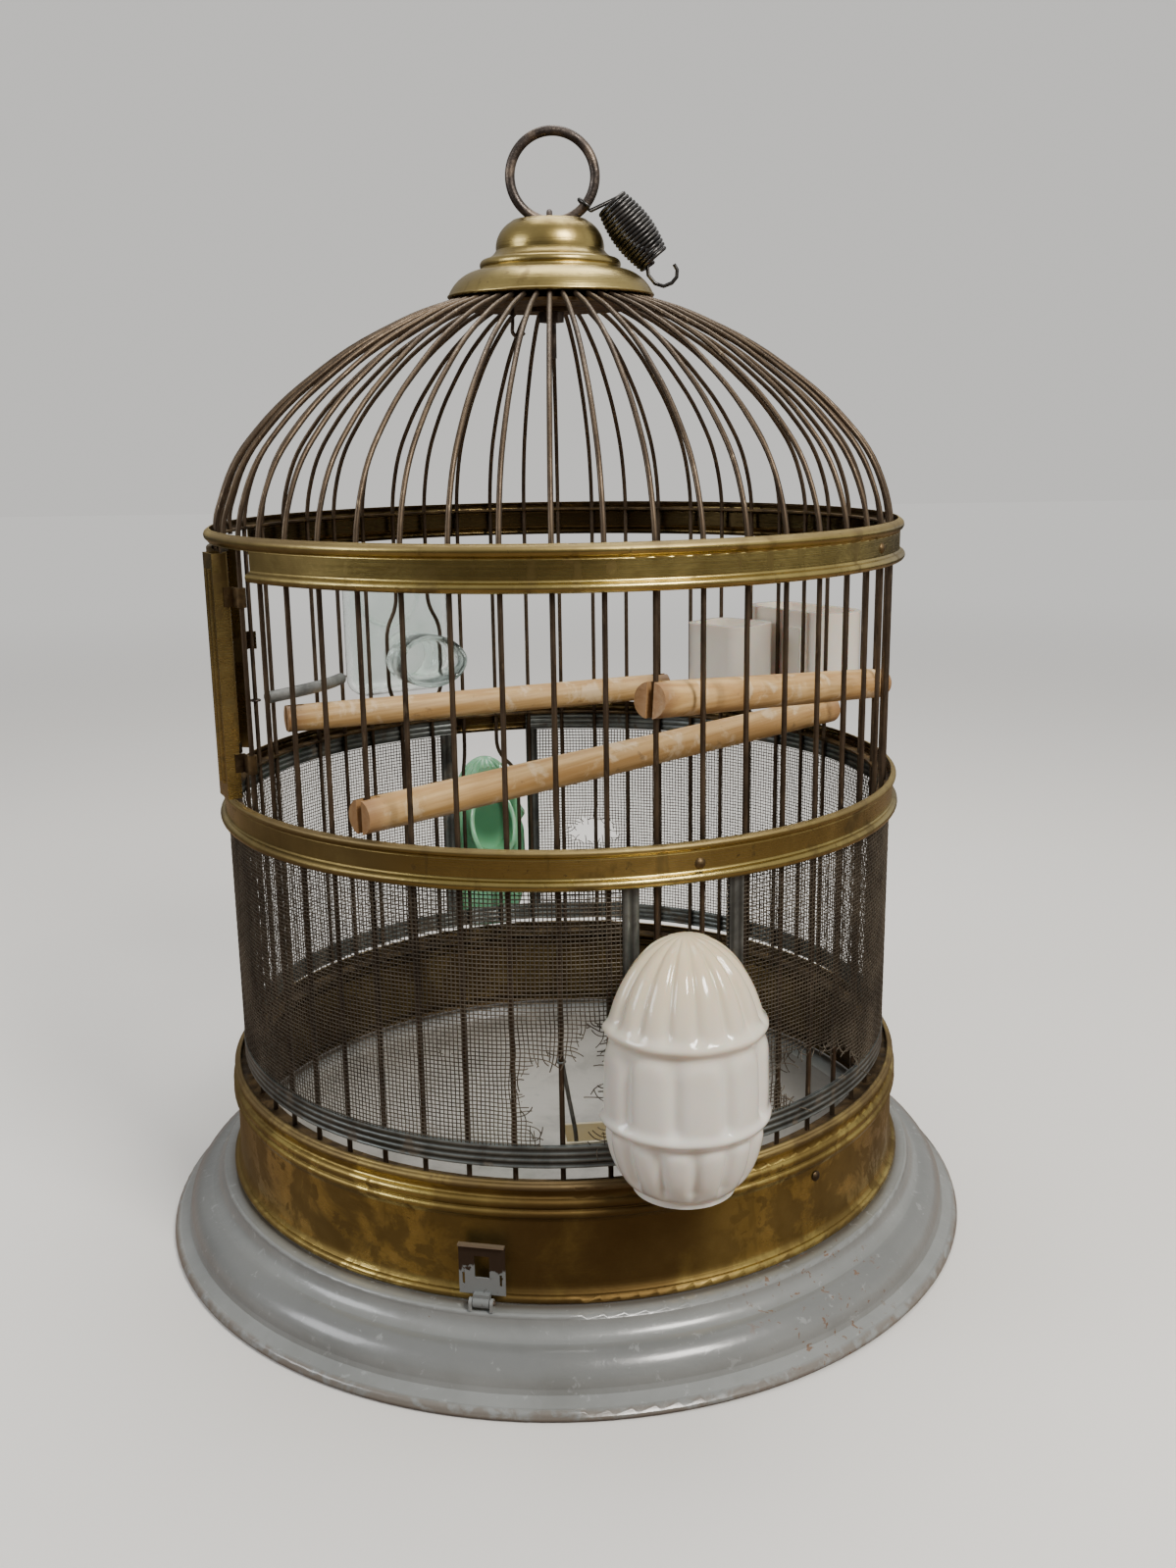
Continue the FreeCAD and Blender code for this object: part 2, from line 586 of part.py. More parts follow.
def hanging_spring():
    """The closed barrel of the coil spring with a hook at each end."""
    low = FreeCAD.Vector(SPRING_ENDS, 0, 0)
    high = FreeCAD.Vector(SPRING_ENDS, 0, SPRING_LENGTH)
    belly = FreeCAD.Vector(SPRING_BELLY, 0, SPRING_LENGTH / 2)
    side = Part.Arc(low, belly, high).toShape()
    inner_low = FreeCAD.Vector(SPRING_ENDS - SPRING_WIRE, 0, 0)
    inner_high = FreeCAD.Vector(SPRING_ENDS - SPRING_WIRE, 0, SPRING_LENGTH)
    inner_belly = FreeCAD.Vector(SPRING_BELLY - SPRING_WIRE, 0, SPRING_LENGTH / 2)
    inside = Part.Arc(inner_high, inner_belly, inner_low).toShape()
    ends = [Part.LineSegment(high, inner_high).toShape(), Part.LineSegment(inner_low, low).toShape()]
    outline = Part.Wire([side, ends[0], inside, ends[1]])
    barrel = Part.Face(outline).revolve(FreeCAD.Vector(0, 0, 0), FreeCAD.Vector(0, 0, 1), 360)
    barrel.Placement = FreeCAD.Placement(SPRING_TOP, FreeCAD.Rotation(FreeCAD.Vector(0, 0, 1), SPRING_WAY))
    upper = [(30.7, 0, 437.2), (25.2, 0, 437.0), (20.8, 0, 433.8), (17.2, 0, 431.8)]
    lower = [(37.0, 0, 409.5), (43.0, 0, 402.6), (49.6, 0, 403.2), (52.6, 0, 407.2), (50.6, 0, 411.4)]
    hooks = [rod_along([FreeCAD.Vector(*spot) for spot in route], SPRING_WIRE / 2)
             for route in (upper, lower)]
    along_ring = FreeCAD.Vector(-math.sin(SPRING_PERCH), 0, math.cos(SPRING_PERCH))
    held_at = FreeCAD.Vector(size("ring_shift") + size("ring_radius") * math.cos(SPRING_PERCH), 0,
                             size("ring_height") + size("ring_radius") * math.sin(SPRING_PERCH))
    hooks.append(Part.makeTorus(SPRING_EYE, SPRING_WIRE / 2, held_at, along_ring))
    return barrel.fuse(hooks)


feature("hanging_spring", hanging_spring())

# ---------------------------------------------------------------- door

HINGE_AZIMUTH = -57.6
KNUCKLE_HEIGHTS = (216.0, 281.0)
KNUCKLE_HEIGHT = 7.5
STILE_DEPTH = 5.6
STILE_FACE = 149.6
SHEET = 0.6


def door_stile(near, far):
    """A folded strip: a ribbed face outside and a flange along each long edge."""
    low = size("door_bottom")
    high = size("door_top")
    face = sector(STILE_FACE - SHEET, STILE_FACE, low, high, near, far)
    edge = math.degrees(SHEET / STILE_FACE)
    sides = [sector(STILE_FACE - STILE_DEPTH, STILE_FACE - SHEET, low, high, near, near + edge),
             sector(STILE_FACE - STILE_DEPTH, STILE_FACE - SHEET, low, high, far - edge, far)]
    ribs = []
    for share in (0.32, 0.68):
        middle = near + (far - near) * share
        ribs.append(Part.makeCylinder(1.1, high - low - 12, polar(STILE_FACE - 0.35, middle, low + 6)))
    return face.fuse(sides + ribs).removeSplitter()


feature("door_hinge_stile", door_stile(-64.9, -59.9))
feature("door_latch_stile", door_stile(-99.6, -94.6))
door_rails = []
for low in (size("door_bottom") + 0.4, size("door_top") - 5.4):
    door_rails.append(sector(143.0, 145.2, low, low + 5.0, -94.6, -64.9))
feature("door_rails", Part.makeCompound(door_rails))
DOOR_WIRE = 0.9
door_wire = Part.makeCylinder(DOOR_WIRE, size("door_top") - size("door_bottom") - 0.8,
                              polar(143.0 - DOOR_WIRE, 0, size("door_bottom") + 0.4))
feature("door_wires", ring_of(door_wire, [-72.0, -79.2, -86.4]))


def knuckles():
    """Two sheet sleeves wrapped round the hinge wire, each with a tongue to the stile."""
    made = []
    for height in KNUCKLE_HEIGHTS:
        middle = polar(size("wire_circle"), 0, height)
        sleeve = Part.makeCylinder(1.9, KNUCKLE_HEIGHT, middle)
        sleeve = sleeve.cut(Part.makeCylinder(size("wire_radius") + 0.08, KNUCKLE_HEIGHT, middle))
        tongue = sector(142.0, 142.6, height, height + KNUCKLE_HEIGHT, -2.3, -0.3)
        rise = sector(142.0, 146.0, height, height + KNUCKLE_HEIGHT, -2.3, -2.05)
        made.append(sleeve.fuse([tongue, rise]))
    return Part.makeCompound(made)


feature("door_knuckles", knuckles(), HINGE_AZIMUTH)

latch = sector(144.2, 145.0, 250.0, 258.0, -102.9, -99.6)
latch = latch.fuse(sector(140.9, 145.0, 250.0, 258.0, -102.9, -102.5))
feature("door_latch", latch)

# ---------------------------------------------------------------- seed guard

FRONT_GAP = (11.5, 25.5)
REAR_GAP = (-172.2, -155.8)
SLOT_IN = 0.7
SLOT_OUT = 1.2
SLOT_DEPTH = 2.5
RAIL_DEPTH = size("guard_depth")
RAIL_HEIGHT = size("guard_rail")
RAIL_OUTLINE = [
    (0.0, 0.0, 0), (RAIL_DEPTH, 0.0, 0), (RAIL_DEPTH, RAIL_HEIGHT, 0), (SLOT_OUT, RAIL_HEIGHT, 0),
    (SLOT_OUT, RAIL_HEIGHT - SLOT_DEPTH, 0), (SLOT_IN, RAIL_HEIGHT - SLOT_DEPTH, 0),
    (SLOT_IN, RAIL_HEIGHT, 0), (0.0, RAIL_HEIGHT, 0),
]
lathe("guard_bottom_rail", "guard_radius", "guard_bottom", RAIL_OUTLINE)

GUARD_IN = size("guard_radius")
GUARD_OUT = GUARD_IN + size("guard_depth")
RAIL_LOW = size("guard_top") - size("guard_rail")
STILE_TURN = math.degrees(size("stile_width") / GUARD_OUT)


def top_rail(start, end):
    """One arc of the folded top rail, with the slot that takes the screen."""
    rail = sector(GUARD_IN, GUARD_OUT, RAIL_LOW, size("guard_top"), start, end)
    slot = sector(GUARD_IN + SLOT_IN, GUARD_IN + SLOT_OUT, RAIL_LOW - 1, RAIL_LOW + SLOT_DEPTH, start, end)
    return rail.cut(slot)


def stile(edge, way):
    """A folded upright strip that closes one end of a screen; way is the side the screen lies on."""
    low = size("guard_bottom") + size("guard_rail") + 0.05
    high = RAIL_LOW - 0.05
    span = sorted((edge, edge + way * STILE_TURN))
    slot = sorted((edge + way * 0.3, edge + way * (STILE_TURN + 1)))
    strip = sector(GUARD_IN, GUARD_OUT, low, high, *span)
    return strip.cut(sector(GUARD_IN + SLOT_IN, GUARD_IN + SLOT_OUT, low - 1, high + 1, *slot))


def screen(start, end):
    """The woven screen, as a plain thin sheet tucked into its frame."""
    low = size("guard_bottom") + size("guard_rail") - SLOT_DEPTH + 0.05
    high = RAIL_LOW + SLOT_DEPTH - 0.05
    return sector(GUARD_IN + SLOT_IN + 0.05, GUARD_IN + SLOT_OUT - 0.05, low, high, start + 0.35, end - 0.35)


LEFT_SCREEN = (REAR_GAP[1], FRONT_GAP[0])
RIGHT_SCREEN = (FRONT_GAP[1], REAR_GAP[0] + 360.0)
feature("guard_top_rail_left", top_rail(*LEFT_SCREEN))
feature("guard_top_rail_right", top_rail(*RIGHT_SCREEN))
feature("guard_screen_left", screen(*LEFT_SCREEN))
feature("guard_screen_right", screen(*RIGHT_SCREEN))
feature("guard_stiles", Part.makeCompound([
    stile(LEFT_SCREEN[0], 1), stile(LEFT_SCREEN[1], -1), stile(RIGHT_SCREEN[0], 1), stile(RIGHT_SCREEN[1], -1)]))

# ---------------------------------------------------------------- perches

PERCH_OVERHANG = 4.0
PERCHES = {
    "perch_left": (-115.2, 212.0, 158.4, 212.5),
    "perch_front": (-28.8, 211.0, 115.2, 212.0),
    "perch_right": (14.4, 254.0, 93.6, 233.5),
}


def perch(start, end):
    """A dowel whose slit ends hold a wire each."""
    way = end - start
    radius = size("perch_radius")
    length = way.Length + 2 * PERCH_OVERHANG
    dowel = Part.makeCylinder(radius, length, FreeCAD.Vector(-PERCH_OVERHANG, 0, 0), FreeCAD.Vector(1, 0, 0))
    half = size("perch_slit") / 2
    for middle in (0, way.Length):
        dowel = dowel.cut(box((middle - 4.6, -half, -2 * radius), (middle + 4.6, half, 2 * radius)))
    flat = math.hypot(way.x, way.y)
    rise = FreeCAD.Rotation(FreeCAD.Vector(0, 1, 0), -math.degrees(math.atan2(way.z, flat)))
    heading = FreeCAD.Rotation(FreeCAD.Vector(0, 0, 1), math.degrees(math.atan2(way.y, way.x)))
    return dowel, FreeCAD.Placement(start, heading.multiply(rise))


for name, (first, first_height, last, last_height) in PERCHES.items():
    circle = size("wire_circle")
    dowel, place = perch(polar(circle, first, first_height), polar(circle, last, last_height))
    feature(name, dowel, place=place)

TUBE_HEIGHT = 227.0
tube_route = [polar(138.2, -103.6, TUBE_HEIGHT), polar(130.5, -110.5, TUBE_HEIGHT + 0.6),
              polar(129.5, -120.0, TUBE_HEIGHT + 0.4), polar(136.6, -127.6, TUBE_HEIGHT)]
feature("tube_perch", rod_along(tube_route, 2.8))


def perch_hook(azimuth, reach):
    """A thin wire loop round one cage wire, with a tail into the end of the tube perch."""
    circle = size("wire_circle")
    loop = Part.makeTorus(2.0, 0.5, polar(circle, azimuth, TUBE_HEIGHT), FreeCAD.Vector(0, 0, 1))
    start = polar(139.6, azimuth + math.copysign(0.5, reach), TUBE_HEIGHT)
    end = tube_route[0] if reach < 0 else tube_route[-1]
    tail = Part.makeCylinder(0.5, (end - start).Length - 0.05, start, end - start)
    return loop.fuse(tail)


feature("tube_perch_hooks", Part.makeCompound([perch_hook(-100.8, -1), perch_hook(-129.6, 1)]))

# ---------------------------------------------------------------- glass feeders

WALL = size("glass_wall")
NECK = size("neck_half")


def rounded_box(low, high, radius):
    """A box with rounded upright edges."""
    solid = box(low, high)
    upright = [edge for edge in solid.Edges if abs(edge.tangentAt(edge.FirstParameter).z) > 0.9]
    return solid.makeFillet(radius, upright)


HOOD_PROFILE = [
    (0.97, 0.32), (0.90, 0.60), (0.81, 0.79), (0.63, 0.95), (0.45, 1.0), (0.24, 0.985), (0.135, 0.90),
    (0.046, 0.66), (0.0, 0.40),
]


def hood_shell(back, base, height, half, depth):
    """A half-egg glass hood with a flat back, closed all round and hollow."""
    axis_y = -back - depth + half
    solids = []
    for shrink in (0.0, WALL):
        room = height - 2 * shrink
        spots = [FreeCAD.Vector(0, axis_y, base + shrink + room)]
        for rise, reach in HOOD_PROFILE:
            spots.append(FreeCAD.Vector(reach * (half - shrink), axis_y, base + shrink + rise * room))
        side = Part.BSplineCurve()
        side.interpolate(spots)
        foot = FreeCAD.Vector(0, axis_y, base + shrink)
        edges = [side.toShape(), Part.LineSegment(spots[-1], foot).toShape(),
                 Part.LineSegment(foot, spots[0]).toShape()]
        face = Part.Face(Part.Wire(edges))
        egg = face.revolve(FreeCAD.Vector(0, axis_y, 0), FreeCAD.Vector(0, 0, 1), 360)
        keeper = box((-100, -400, 0), (100, -back - shrink, 400))
        solids.append(egg.common(keeper))
    return solids[0].cut(solids[1])


def neck_of(back, inner, low, high, lip):
    """The open mouth of a feeder: a trough that passes in between two wires."""
    outer = box((-NECK, -back - 0.5, low), (NECK, -inner, high))
    hollow = box((-NECK + 2.4, -back - WALL - 1, low + 2.4), (NECK - 2.4, -inner - 2.4, high - 2.4))
    doorway = box((-NECK + 2.4, -inner - 3, low + lip), (NECK - 2.4, -inner + 1, high - 2.4))
    skylight = box((-NECK + 2.4, -size("wire_circle") + 3, low + lip), (NECK - 2.4, -inner + 1, high + 1))
    return outer, [hollow, doorway, skylight]


def hooded_feeder(back, base, height, half, depth, inner, low, high, lip):
    """A hooded feeder: half-egg reservoir outside and a mouth inside."""
    shell = hood_shell(back, base, height, half, depth)
    outer, cuts = neck_of(back, inner, low, high, lip)
    body = shell.fuse(outer)
    for tool in cuts:
        body = body.cut(tool)
    return body.removeSplitter()


feature("front_feeder", hooded_feeder(149.7, 74.0, 98.0, 28.6, 34.0, 136.6, 101.0, 137.0, 11.0), 18.0)
feature("rear_feeder", hooded_feeder(147.2, 78.0, 94.0, 21.4, 30.0, 134.0, 125.0, 158.0, 9.0), -164.0)

GLASS_BACK = 149.9


def glass_feeder():
    """A flat clear reservoir outside with an oval trough inside."""
    slab = rounded_box((-28.8, -GLASS_BACK - 20.0, 211.0), (28.8, -GLASS_BACK, 286.0), 7.0)
    hollow = rounded_box((-25.8, -GLASS_BACK - 17.0, 214.0), (25.8, -GLASS_BACK - 3.0, 283.0), 4.5)
    trough = rounded_box((-NECK, -GLASS_BACK - 0.5, 221.0), (NECK, -116.5, 241.0), 0.4)
    inside = rounded_box((-NECK + 2.4, -GLASS_BACK - 4.0, 223.4), (NECK - 2.4, -119.0, 238.6), 0.4)
    mouth = box((-NECK + 2.4, -139.0, 231.0), (NECK - 2.4, -119.0, 242.0))
    return slab.fuse(trough).cut(hollow).cut(inside).cut(mouth)


feature("glass_feeder", glass_feeder(), -147.6)


def glass_cup(half, back, front, low, high, corner, lug):
    """An open glass cup with rounded front corners and a lug that sits between two wires."""
    near, far = sorted((-back, -front))
    outer = rounded_box((-half, near, low), (half, far, high), corner)
    inner = rounded_box((-half + WALL, near + WALL, low + WALL), (half - WALL, far - WALL, high + 1),
                        corner - WALL)
    reach = sorted((-back, -size("wire_circle")))
    block = box((lug - 5.5, reach[0], low + 10), (lug + 5.5, reach[1], high - 8))
    return outer.cut(inner).fuse(block)


feature("inner_cup", glass_cup(18.5, 139.4, 109.0, 213.0, 251.0, 9.0, 8.9), 136.8)
feature("outer_cup", glass_cup(31.0, 142.7, 172.0, 216.0, 257.0, 13.0, -6.4), 128.6)

# ---------------------------------------------------------------- seed trough

trough_body = box((-13, -138.4, 78.2), (13, -122.0, 88.2)).cut(
    box((-11.6, -137.0, 79.6), (11.6, -123.4, 89.0)))
feature("seed_trough", trough_body, 5.5)
hook_route = [FreeCAD.Vector(-8.0, -135.9, 79.7), FreeCAD.Vector(-8.0, -135.9, 90.0),
              FreeCAD.Vector(-11.0, -137.0, 108.0), FreeCAD.Vector(-13.2, -138.6, 122.0)]
hook = rod_along(hook_route, 0.8)
hook = hook.fuse(Part.makeTorus(1.5, 0.4, polar(size("wire_circle"), -5.5, 122.0), FreeCAD.Vector(0, 0, 1)))
feature("trough_hook", hook, 5.5)

# ---------------------------------------------------------------- check and write

doc.recompute()
for thing in doc.Objects:
    if "Invalid" in thing.State or "Error" in thing.State:
        raise RuntimeError(f"{thing.Label} failed: {thing.State}")
for thing in NODES:
    if thing.Shape.isNull() or not thing.Shape.isValid():
        raise RuntimeError(f"{thing.Label} has no valid shape")
    if not thing.Shape.Solids:
        raise RuntimeError(f"{thing.Label} has no solid")

os.makedirs("parts", exist_ok=True)
for thing in NODES:
    thing.Shape.exportStep(f"parts/{thing.Label}.step")
print(len(NODES), "pieces written")
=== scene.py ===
import bpy
import math
import random
from mathutils import Euler, Matrix, Vector, noise


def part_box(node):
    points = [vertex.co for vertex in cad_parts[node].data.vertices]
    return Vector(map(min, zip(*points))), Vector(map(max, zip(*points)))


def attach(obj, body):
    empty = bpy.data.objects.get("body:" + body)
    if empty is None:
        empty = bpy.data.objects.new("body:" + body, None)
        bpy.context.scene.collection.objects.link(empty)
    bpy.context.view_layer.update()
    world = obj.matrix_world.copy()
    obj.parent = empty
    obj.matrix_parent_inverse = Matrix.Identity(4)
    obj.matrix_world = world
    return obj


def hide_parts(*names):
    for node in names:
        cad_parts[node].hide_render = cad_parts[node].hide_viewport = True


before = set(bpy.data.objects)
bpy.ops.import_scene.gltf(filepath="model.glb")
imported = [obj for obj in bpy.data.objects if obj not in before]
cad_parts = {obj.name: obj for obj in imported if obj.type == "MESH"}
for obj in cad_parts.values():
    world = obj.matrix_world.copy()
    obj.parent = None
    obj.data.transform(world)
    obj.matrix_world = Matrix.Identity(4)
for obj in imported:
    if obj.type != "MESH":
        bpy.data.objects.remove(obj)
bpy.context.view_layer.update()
bpy.ops.object.select_all(action="DESELECT")

# ---------------------------------------------------------------- base pan
# A spun tin pan, painted blue-grey, with a wire rolled into its rim. The paint is chipped to
# rust on the shoulders and rubbed, and darker in a ring where the cage stands on it; painted shade
# darkens the cove of the rim.


def put(tree, kind, inputs=None, **settings):
    """Add a shader node, set it up, and give each named input a number or a link."""
    node = tree.nodes.new(kind)
    for name, value in settings.items():
        setattr(node, name, value)
    for name, value in (inputs or {}).items():
        socket = node.inputs[name]
        if isinstance(value, bpy.types.NodeSocket):
            tree.links.new(value, socket)
        else:
            socket.default_value = value
    return node


def mix(tree, factor, first, second):
    """A colour between two others; each of the three is a value or a link."""
    node = put(tree, "ShaderNodeMix", data_type="RGBA")
    for index, value in ((0, factor), (6, first), (7, second)):
        if isinstance(value, bpy.types.NodeSocket):
            tree.links.new(value, node.inputs[index])
        else:
            node.inputs[index].default_value = value if index == 0 else (*value, 1.0)
    return node.outputs[2]


def step(tree, value, low, high, start=0.0, end=1.0):
    """A soft step: start below low, end above high."""
    node = put(tree, "ShaderNodeMapRange", {"Value": value, "From Min": low, "From Max": high,
                                            "To Min": start, "To Max": end},
               interpolation_type="SMOOTHSTEP")
    return node.outputs["Result"]


def maths(tree, operation, first, second=0.0):
    """One arithmetic step on two values."""
    node = put(tree, "ShaderNodeMath", operation=operation)
    for index, value in enumerate((first, second)):
        if isinstance(value, bpy.types.NodeSocket):
            tree.links.new(value, node.inputs[index])
        else:
            node.inputs[index].default_value = value
    return node.outputs[0]


def place_of(tree):
    """The point on the piece, in metres, in the frame of the whole cage."""
    return put(tree, "ShaderNodeTexCoord").outputs["Object"]


def new_group(label, inputs, outputs):
    """An empty shader node group with number inputs, mask outputs and its two end nodes."""
    group = bpy.data.node_groups.new(label, "ShaderNodeTree")
    for name, value in inputs:
        socket = group.interface.new_socket(name, in_out="INPUT", socket_type="NodeSocketFloat")
        socket.default_value = value
    for name in outputs:
        group.interface.new_socket(name, in_out="OUTPUT", socket_type="NodeSocketFloat")
    start = group.nodes.new("NodeGroupInput")
    end = group.nodes.new("NodeGroupOutput")
    return group, start, end


def blotch_group():
    """Irregular patches: how big they are, how much they cover and how hard their edge is."""
    group, start, end = new_group(
        "blotches", [("Scale", 30.0), ("Shift", 0.0), ("Cover", 0.5), ("Edge", 0.05)], ["Mask"])
    moved = put(group, "ShaderNodeVectorMath", {0: place_of(group), 1: start.outputs["Shift"]},
                operation="ADD")
    cloud = put(group, "ShaderNodeTexNoise", {"Vector": moved.outputs[0], "Scale": start.outputs["Scale"],
                                              "Detail": 8.0, "Roughness": 0.62, "Distortion": 0.4})
    edge = maths(group, "SUBTRACT", 1.0, start.outputs["Cover"])
    low = maths(group, "SUBTRACT", edge, start.outputs["Edge"])
    high = maths(group, "ADD", edge, start.outputs["Edge"])
    group.links.new(step(group, cloud.outputs[0], low, high), end.inputs["Mask"])
    return group


BLOTCHES = blotch_group()


def blotches(tree, scale, shift, cover, edge=0.05):
    """A mask of irregular patches."""
    node = put(tree, "ShaderNodeGroup", node_tree=BLOTCHES)
    for name, value in (("Scale", scale), ("Shift", shift), ("Cover", cover), ("Edge", edge)):
        node.inputs[name].default_value = value
    return node.outputs["Mask"]


def near(tree, spot, reach):
    """A mask round one spot on the piece."""
    gap = put(tree, "ShaderNodeVectorMath", {0: place_of(tree), 1: spot}, operation="DISTANCE")
    return step(tree, gap.outputs["Value"], reach * 0.35, reach, 1.0, 0.0)


def axis_distance(tree):
    """Distance from the upright axis of the cage."""
    flat = put(tree, "ShaderNodeVectorMath", {0: place_of(tree), 1: (1.0, 1.0, 0.0)}, operation="MULTIPLY")
    return put(tree, "ShaderNodeVectorMath", {0: flat.outputs[0]}, operation="LENGTH").outputs["Value"]


def height_of(tree):
    """Height above the table."""
    return put(tree, "ShaderNodeSeparateXYZ", {0: place_of(tree)}).outputs["Z"]


def facing_in(tree):
    """One where the surface looks towards the axis of the cage, zero where it looks out."""
    coords = put(tree, "ShaderNodeTexCoord")
    flat = put(tree, "ShaderNodeVectorMath", {0: coords.outputs["Object"], 1: (1.0, 1.0, 0.0)},
               operation="MULTIPLY")
    way = put(tree, "ShaderNodeVectorMath", {0: flat.outputs[0]}, operation="NORMALIZE")
    lean = put(tree, "ShaderNodeVectorMath", {0: way.outputs[0], 1: coords.outputs["Normal"]},
               operation="DOT_PRODUCT")
    return step(tree, lean.outputs["Value"], -0.35, -0.1, 1.0, 0.0)


def new_material(label, **inputs):
    """A principled material; inputs are the numbers that are the same all over it."""
    made = bpy.data.materials.new(label)
    made.use_nodes = True
    shader = made.node_tree.nodes["Principled BSDF"]
    for name, value in inputs.items():
        shader.inputs[name.replace("_", " ")].default_value = value
    return made, made.node_tree, shader


def finish_with(tree, shader, colour=None, rough=None, height=None, depth=0.0002, metal=None):
    """Connect what varies over the surface to the shader; depth is the height of the bumps."""
    for name, socket in (("Base Color", colour), ("Roughness", rough), ("Metallic", metal)):
        if socket is not None:
            tree.links.new(socket, shader.inputs[name])
    if height is not None:
        bump = put(tree, "ShaderNodeBump", {"Height": height, "Strength": 0.6, "Distance": depth})
        tree.links.new(bump.outputs["Normal"], shader.inputs["Normal"])


def dress(material, *nodes):
    """Give CAD nodes their finish."""
    for name in nodes:
        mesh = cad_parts[name].data
        mesh.materials.clear()
        mesh.materials.append(material)


def between(tree, value, start, full, fade, end, share=1.0):
    """A mask that rises from start to full and falls again from fade to end."""
    rise = step(tree, value, start, full)
    return maths(tree, "MULTIPLY", rise, step(tree, value, fade, end, share, 0.0))


def tin_paint():
    """Blue-grey enamel, chipped to rust in places and darkened by handling, with painted shade in the cove
    of the rim and a darker ring where the cage stands.
    """
    made, tree, shader = new_material("tin_paint", Coat_Weight=0.7, Coat_Roughness=0.16)
    reach = axis_distance(tree)
    paint = mix(tree, blotches(tree, 14.0, 0.3, 0.5, 0.25), (0.180, 0.190, 0.186), (0.245, 0.256, 0.250))
    paint = mix(tree, step(tree, reach, 0.140, 0.146, 1.0, 0.0), paint, (0.58, 0.565, 0.52))
    # Painted shade: the cove between the two rolls of the rim is darkened.
    cove_shade = between(tree, reach, 0.1590, 0.1650, 0.1690, 0.1735, 0.5)
    paint = mix(tree, cove_shade, paint, (0.095, 0.10, 0.10))
    # A dark brown ring round the foot of the skirt, where the cage stands on the pan.
    foot_line = between(tree, reach, 0.146, 0.148, 0.1515, 0.1555, 0.85)
    paint = mix(tree, foot_line, paint, (0.085, 0.070, 0.050))
    smudge = maths(tree, "MULTIPLY", blotches(tree, 45.0, 5.1, 0.42, 0.12), 0.35)
    paint = mix(tree, smudge, paint, (0.165, 0.17, 0.158))
    rubbed = maths(tree, "MULTIPLY", blotches(tree, 240.0, 7.3, 0.36, 0.03), 0.4)
    paint = mix(tree, rubbed, paint, (0.36, 0.38, 0.375))
    rim_dirt = blotches(tree, 150.0, 6.4, 0.55, 0.08)
    rim = maths(tree, "MULTIPLY", step(tree, reach, 0.1772, 0.1790), rim_dirt)
    paint = mix(tree, maths(tree, "MULTIPLY", rim, 0.75), paint, (0.15, 0.125, 0.10))
    chips = blotches(tree, 230.0, 2.7, 0.262, 0.012)
    chipped = near(tree, (0.098, -0.130, 0.020), 0.050)
    worn = maths(tree, "MULTIPLY", blotches(tree, 240.0, 9.2, 0.375, 0.015), chipped)
    worn = maths(tree, "MAXIMUM", worn, chips)
    colour = mix(tree, worn, paint, (0.165, 0.095, 0.055))
    rough = step(tree, worn, 0.0, 1.0, 0.30, 0.8)
    finish_with(tree, shader, colour, rough, blotches(tree, 90.0, 1.0, 0.5, 0.4), 0.0003)
    return made


TIN_PAINT = tin_paint()
dress(TIN_PAINT, "base_pan", "clip_lugs")

# ---------------------------------------------------------------- galvanised strip
# Zinc-coated tin: the wire in the base rim, the hook of the seed trough and the folded, ridged
# frame of the seed guard. It is blue-grey and clouded, with brown stains.


RIDGE_PITCH = 0.0026
RIDGE_DEGREES = 1.3


def ridges_up(tree):
    """Ridges pressed along a rail, one above another."""
    level = maths(tree, "MULTIPLY", height_of(tree), 2 * math.pi / RIDGE_PITCH)
    return put(tree, "ShaderNodeMath", {0: level}, operation="SINE").outputs[0]


def ridges_round(tree):
    """Ridges pressed up a stile, side by side."""
    part = put(tree, "ShaderNodeSeparateXYZ", {0: place_of(tree)}).outputs
    turn = maths(tree, "ARCTAN2", part["Y"], part["X"])
    across = maths(tree, "MULTIPLY", turn, 360 / RIDGE_DEGREES)
    return put(tree, "ShaderNodeMath", {0: across}, operation="SINE").outputs[0]


def galvanised(label, ridges=None):
    """Clouded zinc with stains, and with the pressed ridges of a folded strip if they are given, the grooves
    between them darkened with painted shade.
    """
    made, tree, shader = new_material(label)
    zinc = mix(tree, blotches(tree, 55.0, 3.3, 0.5, 0.2), (0.095, 0.106, 0.104), (0.27, 0.295, 0.285))
    stain = maths(tree, "MULTIPLY", blotches(tree, 80.0, 7.7, 0.42, 0.06), 0.8)
    relief = blotches(tree, 150.0, 1.0, 0.5, 0.4)
    if ridges:
        ridge = ridges(tree)
        # Painted shade: the grooves between the pressed ridges are darkened.
        zinc = mix(tree, step(tree, ridge, -0.9, 0.5, 0.35, 1.0), (0.045, 0.047, 0.043), zinc)
        relief = maths(tree, "ADD", maths(tree, "MULTIPLY", relief, 0.1), ridge)
    colour = mix(tree, stain, zinc, (0.10, 0.08, 0.055))
    rough = step(tree, stain, 0.0, 1.0, 0.36, 0.75)
    metal = step(tree, stain, 0.0, 1.0, 0.8, 0.2)
    finish_with(tree, shader, colour, rough, relief, 0.0004, metal)
    return made


dress(galvanised("galvanised_wire"), "base_rim_wire", "trough_hook")
dress(galvanised("galvanised_rail", ridges_up), "guard_bottom_rail", "guard_top_rail_left",
      "guard_top_rail_right")
dress(galvanised("galvanised_stile", ridges_round), "guard_stiles")

# ---------------------------------------------------------------- base clips
# Three slotted spring clips on pins. Their lower half is under the same paint as the base; the
# upper half and the slot edges are worn to brown metal.


